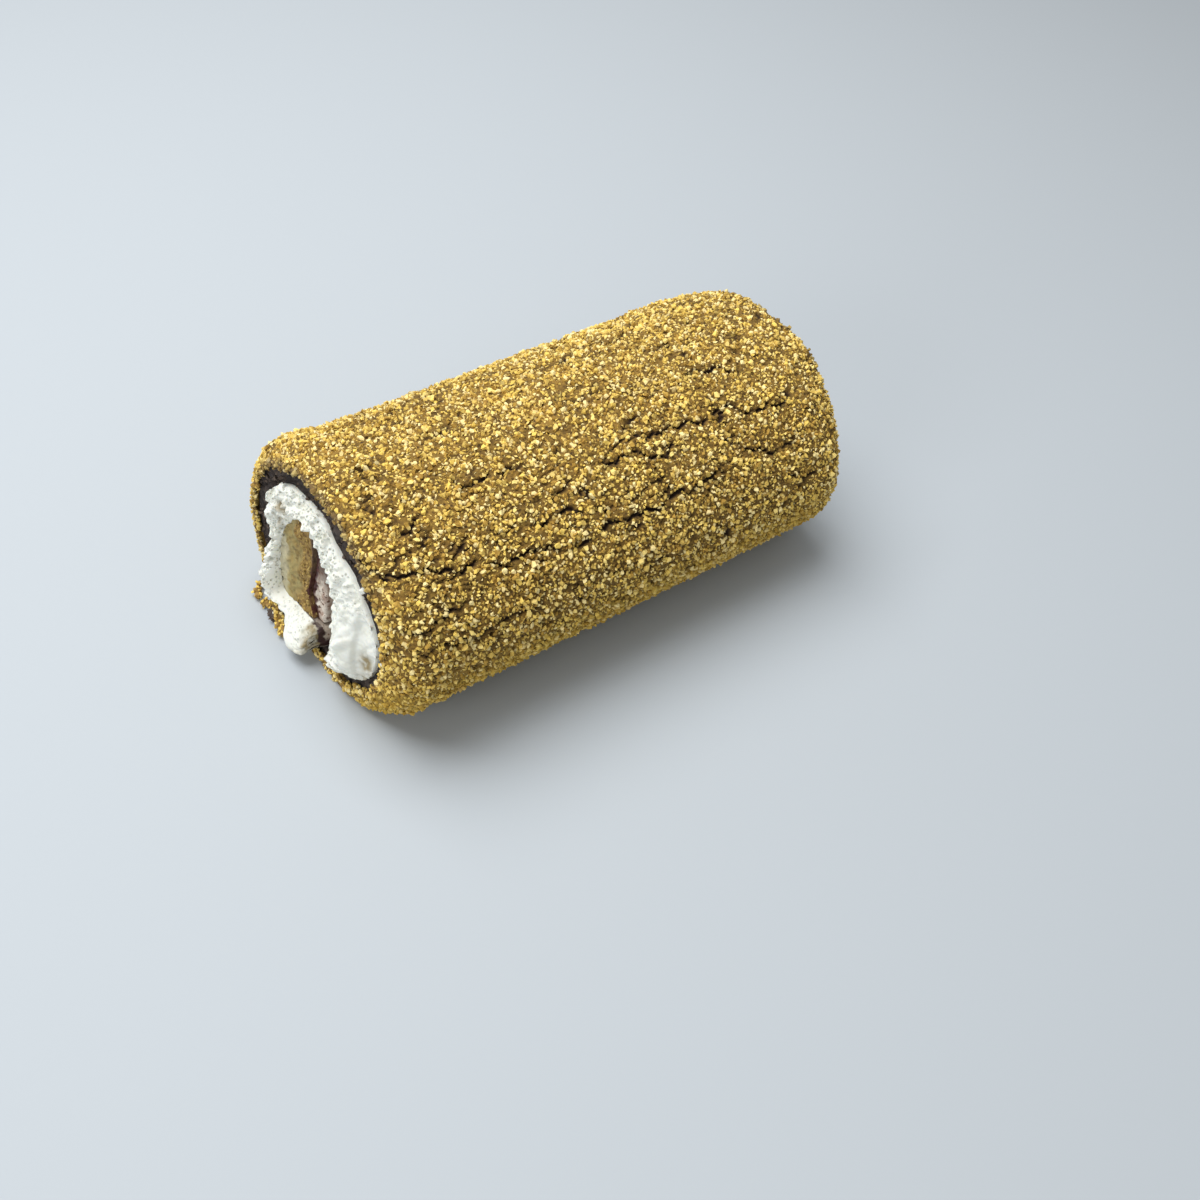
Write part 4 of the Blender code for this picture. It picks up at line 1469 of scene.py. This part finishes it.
class CrumbScatter:
    """Strews grains of crumb over a surface with a geometry node tree."""

    TREE = "strew_crumbs"
    NUMBERS = {"Spacing": "Float", "Smallest": "Float", "Largest": "Float",
               "Kinds": "Int", "Kind": "Int", "Seed": "Int"}

    @classmethod
    def tree(cls) -> bpy.types.NodeTree:
        """The tree, built once: points on faces, grains on points, made real.

        Returns:
            The tree.
        """
        known = bpy.data.node_groups.get(cls.TREE)
        if known:
            return known
        tree = bpy.data.node_groups.new(cls.TREE, "GeometryNodeTree")
        sockets = {"Geometry": "Geometry", **cls.NUMBERS, "Material": "Material"}
        for name, kind in sockets.items():
            tree.interface.new_socket(name, in_out="INPUT", socket_type=f"NodeSocket{kind}")
        tree.interface.new_socket("Geometry", in_out="OUTPUT", socket_type="NodeSocketGeometry")
        cls.wire(Graph(tree))
        return tree

    @staticmethod
    def draw(graph: Graph, low: float | Place, high: float | Place, seed: int) -> Socket:
        """A number or a vector that is drawn between low and high for each point.

        Args:
            graph: The tree's graph.
            low: Lowest number or vector.
            high: Highest number or vector.
            seed: The draw's own seed.

        Returns:
            What is drawn.
        """
        vector = isinstance(low, tuple)
        first = 0 if vector else 2
        drawn = graph.add("FunctionNodeRandomValue", {first: low, first + 1: high, 8: seed},
                          data_type="FLOAT_VECTOR" if vector else "FLOAT")
        return drawn.outputs[0 if vector else 1]

    @staticmethod
    def placed(graph: Graph, shape: bpy.types.Node, change: dict[str, Socket]) -> bpy.types.Node:
        """Move a node's geometry by an offset or to a position."""
        return graph.add("GeometryNodeSetPosition", {"Geometry": shape.outputs[0], **change})

    @classmethod
    def wire(cls, graph: Graph) -> None:
        """Wire the tree up: kinds are drawn for each point, then tint, size, shape and turn.

        Args:
            graph: The tree's graph.
        """
        given = graph.add("NodeGroupInput").outputs
        cover = graph.add("GeometryNodeInputNamedAttribute", {"Name": "cover"}, data_type="FLOAT")
        points = graph.add("GeometryNodeDistributePointsOnFaces",
                           {"Mesh": given["Geometry"], "Distance Min": given["Spacing"],
                            "Density Max": 4.0e6, "Density Factor": cover.outputs[0],
                            "Seed": given["Seed"]}, distribute_method="POISSON")
        last = graph.math("SUBTRACT", given["Kinds"], 1.0)
        kind = graph.add("FunctionNodeRandomValue", {4: 0, 5: last, 8: 11}, data_type="INT")
        chosen = graph.add("FunctionNodeCompare", {2: kind.outputs[2], 3: given["Kind"]},
                           data_type="INT", operation="EQUAL")
        tinted = graph.add("GeometryNodeStoreNamedAttribute",
                           {"Geometry": points.outputs["Points"], "Name": "tint",
                            "Value": cls.draw(graph, 0.0, 1.0, 12)}, data_type="FLOAT", domain="POINT")
        span = graph.math("SUBTRACT", given["Largest"], given["Smallest"])
        grown = graph.math("POWER", cls.draw(graph, 0.0, 1.0, 13), 2.2)
        size = graph.math("ADD", given["Smallest"], graph.times(span, grown))
        lift = graph.scaled(points.outputs["Normal"],
                            graph.times(cls.draw(graph, -0.4, 0.3, 16), size))
        lifted = cls.placed(graph, tinted, {"Offset": lift})
        shape = cls.draw(graph, (0.7, 0.6, 0.5), (1.3, 1.15, 1.0), 14)
        turn = cls.draw(graph, (0.0,) * 3, (math.tau,) * 3, 15)
        grain = graph.add("GeometryNodeMeshIcoSphere", {"Radius": 0.5, "Subdivisions": 1})
        strewn = graph.add("GeometryNodeInstanceOnPoints",
                           {"Points": lifted.outputs[0], "Selection": chosen.outputs[0],
                            "Instance": grain.outputs[0], "Rotation": turn,
                            "Scale": graph.scaled(shape, size)})
        real = graph.add("GeometryNodeRealizeInstances", {"Geometry": strewn.outputs[0]})
        place = graph.add("GeometryNodeInputPosition").outputs[0]
        wobble = graph.add("ShaderNodeTexNoise", {"Vector": place, "Scale": 1700.0, "Detail": 1.0})
        centred = graph.add("ShaderNodeVectorMath", {0: wobble.outputs["Color"], 1: (0.5,) * 3},
                            operation="SUBTRACT")
        moved = graph.scaled(centred.outputs[0], graph.times(given["Largest"], 0.9))
        bent = cls.placed(graph, real, {"Offset": moved})
        x, y, z = graph.add("ShaderNodeSeparateXYZ", {0: place}).outputs
        lowest = graph.math("MAXIMUM", z, 0.05 * MM)
        kept = graph.add("ShaderNodeCombineXYZ", {0: x, 1: y, 2: lowest})
        raised = cls.placed(graph, bent, {"Position": kept.outputs[0]})
        flat = graph.add("GeometryNodeSetShadeSmooth",
                         {"Geometry": raised.outputs[0], "Shade Smooth": False})
        done = graph.add("GeometryNodeSetMaterial",
                         {"Geometry": flat.outputs[0], "Material": given["Material"]})
        graph.add("NodeGroupOutput", {0: done.outputs[0]})

    @classmethod
    def strew(cls, name: str, base: bpy.types.Object, finish: Finish,
              numbers: dict[str, float]) -> bpy.types.Object:
        """Strew one kind of crumb over a base.

        Args:
            name: The new piece's name.
            base: The piece whose surface carries the crumbs; its cover values say where.
            finish: The crumbs' finish.
            numbers: Values of the tree's inputs by name, lengths in millimetres.

        Returns:
            The crumbs as one plain mesh.
        """
        tree = cls.tree()
        carrier = bpy.data.objects.new("carrier", base.data)
        bpy.context.scene.collection.objects.link(carrier)
        modifier = carrier.modifiers.new("strew", "NODES")
        modifier.node_group = tree
        settings = {"Kinds": 1, "Kind": 0, **numbers}
        values: dict[str, object] = {"Material": finish.material()}
        for label, number in settings.items():
            values[label] = int(number) if cls.NUMBERS[label] == "Int" else float(number) * MM
        for socket in tree.interface.items_tree:
            if socket.item_type == "SOCKET" and socket.in_out == "INPUT" and socket.name in values:
                modifier[socket.identifier] = values[socket.name]
        bpy.context.view_layer.update()
        evaluated = carrier.evaluated_get(bpy.context.evaluated_depsgraph_get())
        mesh = bpy.data.meshes.new_from_object(evaluated)
        bpy.data.objects.remove(carrier)
        return MeshMaker.piece(name, mesh, finish.material())


@dataclass(frozen=True)
class Studio:
    """Floor, soft lights and the camera, in metres and degrees."""

    aim: Place = (-0.0124, -0.0406, 0.030)
    distance: float = 0.3406
    azimuth: float = -41.68
    elevation: float = 48.58
    roll: float = 8.0
    lens: float = 39.15
    floor_colour: Colour = (0.43, 0.47, 0.505)
    floor_half: float = 3.0
    sky: Colour = (1.0, 0.99, 0.97)
    sky_strength: float = 0.36
    lights: tuple[tuple[str, Place, float, float], ...] = (
        ("key", (-0.15, 0.26, 0.85), 0.7, 10.3), ("fill", (-0.9, -0.25, 0.38), 0.5, 3.2))

    def add_camera(self) -> None:
        """Camera at the photograph's angle, with no blur and no shift."""
        azimuth, elevation = math.radians(self.azimuth), math.radians(self.elevation)
        back = Vector((math.sin(azimuth) * math.cos(elevation),
                       -math.cos(azimuth) * math.cos(elevation), math.sin(elevation)))
        camera = bpy.data.cameras.new("camera")
        camera.lens = self.lens
        camera.clip_start = 0.01
        thing = bpy.data.objects.new("camera", camera)
        bpy.context.scene.collection.objects.link(thing)
        thing.location = Vector(self.aim) + back * self.distance
        turned = back.to_track_quat("Z", "Y").to_matrix() @ Matrix.Rotation(math.radians(self.roll), 3, "Z")
        thing.rotation_euler = turned.to_euler()
        bpy.context.scene.camera = thing

    def add_floor(self) -> None:
        """A plain pale floor, wide enough to fill the view."""
        half = self.floor_half
        mesh = bpy.data.meshes.new("floor")
        corners = [(-half, -half, 0.0), (half, -half, 0.0), (half, half, 0.0), (-half, half, 0.0)]
        mesh.from_pydata(corners, [], [(0, 1, 2, 3)])
        material = bpy.data.materials.new("floor")
        material.use_nodes = True
        Graph(material.node_tree).feed(material.node_tree.nodes["Principled BSDF"],
                                       {"Base Color": self.floor_colour, "Roughness": 0.8})
        MeshMaker.piece("floor", mesh, material)

    def add_light(self, name: str, place: Place, size: float, power: float) -> None:
        """Add a soft square light that faces the cake.

        Args:
            name: The light's name.
            place: Where it hangs.
            size: Its width.
            power: Its power in watts.
        """
        light = bpy.data.lights.new(name, "AREA")
        light.size = size
        light.energy = power
        thing = bpy.data.objects.new(name, light)
        bpy.context.scene.collection.objects.link(thing)
        thing.location = place
        away = Vector(place) - Vector((0.0, 0.0, 0.03))
        thing.rotation_euler = away.to_track_quat("Z", "Y").to_euler()

    def build(self) -> None:
        """Set the whole stage up."""
        scene = bpy.context.scene
        scene.view_settings.view_transform = "Standard"
        world = bpy.data.worlds.new("studio")
        world.use_nodes = True
        Graph(world.node_tree).feed(world.node_tree.nodes["Background"],
                                    {0: self.sky, 1: self.sky_strength})
        scene.world = world
        self.add_floor()
        for light in self.lights:
            self.add_light(*light)
        self.add_camera()


@dataclass
class SwissRoll:
    """The whole cake, dressed from its skin to its loose crumbs."""

    form: RollForm
    dark_crumb: CrumbFinish = CrumbFinish(
        "crumb_chocolate", (0.016, 0.010, 0.008), (0.15, 0.11, 0.085), (0.05, 0.03, 0.02), toast_share=0.3)
    clump_spots: tuple[Blob, ...] = (
        (-75.4, 33.4, 1.5, 0.9), (-77.2, 31.4, 1.4, 1.0), (-77.8, 29.8, 1.3, 0.9), (-77.4, 26.4, 1.4, 1.1),
        (-76.8, 24.6, 1.6, 0.9), (-77.9, 16.4, 1.7, 1.3), (-77.4, 14.2, 2.0, 1.6), (-71.9, 2.4, 1.4, 1.1),
        (-71.5, 0.6, 1.5, 1.0), (-71.2, -5.4, 1.2, 0.9), (-70.0, -8.2, 1.4, 1.1), (-69.2, -10.6, 1.5, 1.1),
        (-69.6, -14.4, 1.6, 1.4), (-69.0, -17.6, 1.5, 1.2), (79.0, 25.0, 1.6, 1.3), (79.4, 19.6, 1.3, 1.0),
        (78.2, 2.0, 1.5, 1.2), (77.8, -9.0, 1.2, 0.9))
    dark_spots: tuple[Blob, ...] = (
        (-77.2, 22.0, 1.4, 1.2), (-77.8, 20.2, 1.3, 0.9), (-76.6, 18.6, 1.5, 1.0), (-70.9, 5.0, 1.1, 0.9),
        (-70.6, -2.2, 1.4, 1.0), (-70.4, -6.8, 1.3, 0.8), (-67.4, -12.6, 1.5, 1.1), (78.6, 10.0, 1.4, 1.0))
    cream_spots: tuple[Blob, ...] = (
        (-70.0, -20.6, 47.9, 0.75), (-70.2, -20.1, 47.2, 0.5), (-70.6, -29.3, 29.2, 0.45),
        (-70.6, 8.3, 55.2, 0.4), (-77.2, 21.4, 2.0, 0.45))

    def settle(self, piece: bpy.types.Object, slot: str, node: str | None = None) -> None:
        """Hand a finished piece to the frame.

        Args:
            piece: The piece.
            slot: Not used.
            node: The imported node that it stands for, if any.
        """
        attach(piece, BODY)
        if node:
            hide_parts(node)
        piece.data.calc_loop_triangles()
        LOG.info("%s: %d triangles", piece.name, len(piece.data.loop_triangles))

    def strew(self, name: str, base: bpy.types.Object, finish: Finish, slot: str,
              numbers: dict[str, float]) -> None:
        """Strew crumbs with some numbers over a base and settle them."""
        self.settle(CrumbScatter.strew(name, base, finish, numbers), slot)

    def build_coat(self) -> None:
        """The coat's skin and its loose grains, one piece for each kind."""
        skin = CrumbCoat(self.form).build()
        kinds = list(GrainKind)
        for number, kind in enumerate(kinds):
            self.strew(f"coat_crumbs_{kind.value}", skin, kind.finish(), "crumb_coat",
                       {"Spacing": 0.68, "Smallest": 0.75, "Largest": 1.75, "Kinds": len(kinds),
                        "Kind": number, "Seed": 3})
        self.settle(skin, "crumb_coat", "crumb_coat")

    def build_clumps(self) -> None:
        """Clumps of crumb, golden and dark, that cling to the lower edge of each cut."""
        golden = CrumbFinish("coat_clump", (0.22, 0.12, 0.03), (0.42, 0.27, 0.075))
        for name, spots, core, loose, slot in (
                ("crumb_clumps", self.clump_spots, golden, GrainKind.GOLDEN.finish(), "crumb_coat"),
                ("sponge_clumps", self.dark_spots, self.dark_crumb, self.dark_crumb, "chocolate_sponge")):
            mesh = MeshMaker.from_blobs(name, spots, 0.6)
            MeshMaker.add_values(mesh, {"cover": (0.8,)})
            clumps = MeshMaker.piece(name, mesh, core.material())
            self.strew(f"{name}_grains", clumps, loose, slot,
                       {"Spacing": 0.75, "Smallest": 0.6, "Largest": 1.5, "Seed": 5})
            self.settle(clumps, slot)

    def build_sponge(self) -> None:
        """The chocolate sheet, with its own dark crumbs."""
        sheet = ChocolateSheet(self.form).build()
        self.strew("sheet_crumbs", sheet, self.dark_crumb, "chocolate_sponge",
                   {"Spacing": 0.85, "Smallest": 0.5, "Largest": 1.4, "Seed": 6})
        self.settle(sheet, "chocolate_sponge", "chocolate_sponge")

    def build_cream(self) -> None:
        """The cream, and the specks of it on the sheet."""
        cream = WhippedCream(self.form).build()
        mesh = MeshMaker.from_blobs("cream_specks", self.cream_spots, 0.6)
        specks = MeshMaker.piece("cream_specks", mesh, CreamFinish().material())
        self.settle(specks, "whipped_cream")
        self.settle(cream, "whipped_cream", "whipped_cream")

    def build_slab(self) -> None:
        """The golden sponge with its crumbs, and the jam beside it."""
        form = self.form
        right, left = form.slab_sides(240)
        seam = curve_through(form.jam_seam, 90)
        core_outline = offset(np.vstack([left[:-1], seam[:-1]]), -0.5 * form.gap)
        jam_outline = offset(np.vstack([right[:-1], seam[:0:-1]]), -0.5 * form.gap)
        # The last colour, near black, is the painted shade inside the pores
        finish = SpongeFinish("golden_crumb", (0.15, 0.08, 0.018), (0.42, 0.28, 0.09),
                              (0.30, 0.185, 0.03), (0.35, 0.295, 0.12), (0.06, 0.025, 0.006))
        core = SlabLayer(form, "golden_slab", core_outline, 0.2, 0.8, 1.1, 1.5).build(finish, (9.5, 13.5))
        jam = SlabLayer(form, "jam_strip", jam_outline, 1.4, 0.6).build(JamFinish())
        # Its pores are painted dark, as shade
        loose = CrumbFinish("slab_grain", (0.25, 0.155, 0.035), (0.50, 0.36, 0.12), pores=0.5)
        self.strew("golden_slab_crumbs", core, loose, "golden_sponge",
                   {"Spacing": 0.9, "Smallest": 0.4, "Largest": 1.3, "Seed": 8})
        self.settle(core, "golden_sponge", "golden_sponge")
        self.settle(jam, "red_jam", "red_jam")

    def build(self) -> None:
        """Build every part of the cake in order."""
        self.build_coat()
        self.build_clumps()
        self.build_sponge()
        self.build_cream()
        self.build_slab()


def main() -> None:
    """Build the stage and the cake."""
    logging.basicConfig(level=logging.INFO, format="%(name)s %(message)s")
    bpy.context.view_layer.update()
    Studio().build()
    SwissRoll(RollForm()).build()


if __name__ == "__main__":
    main()
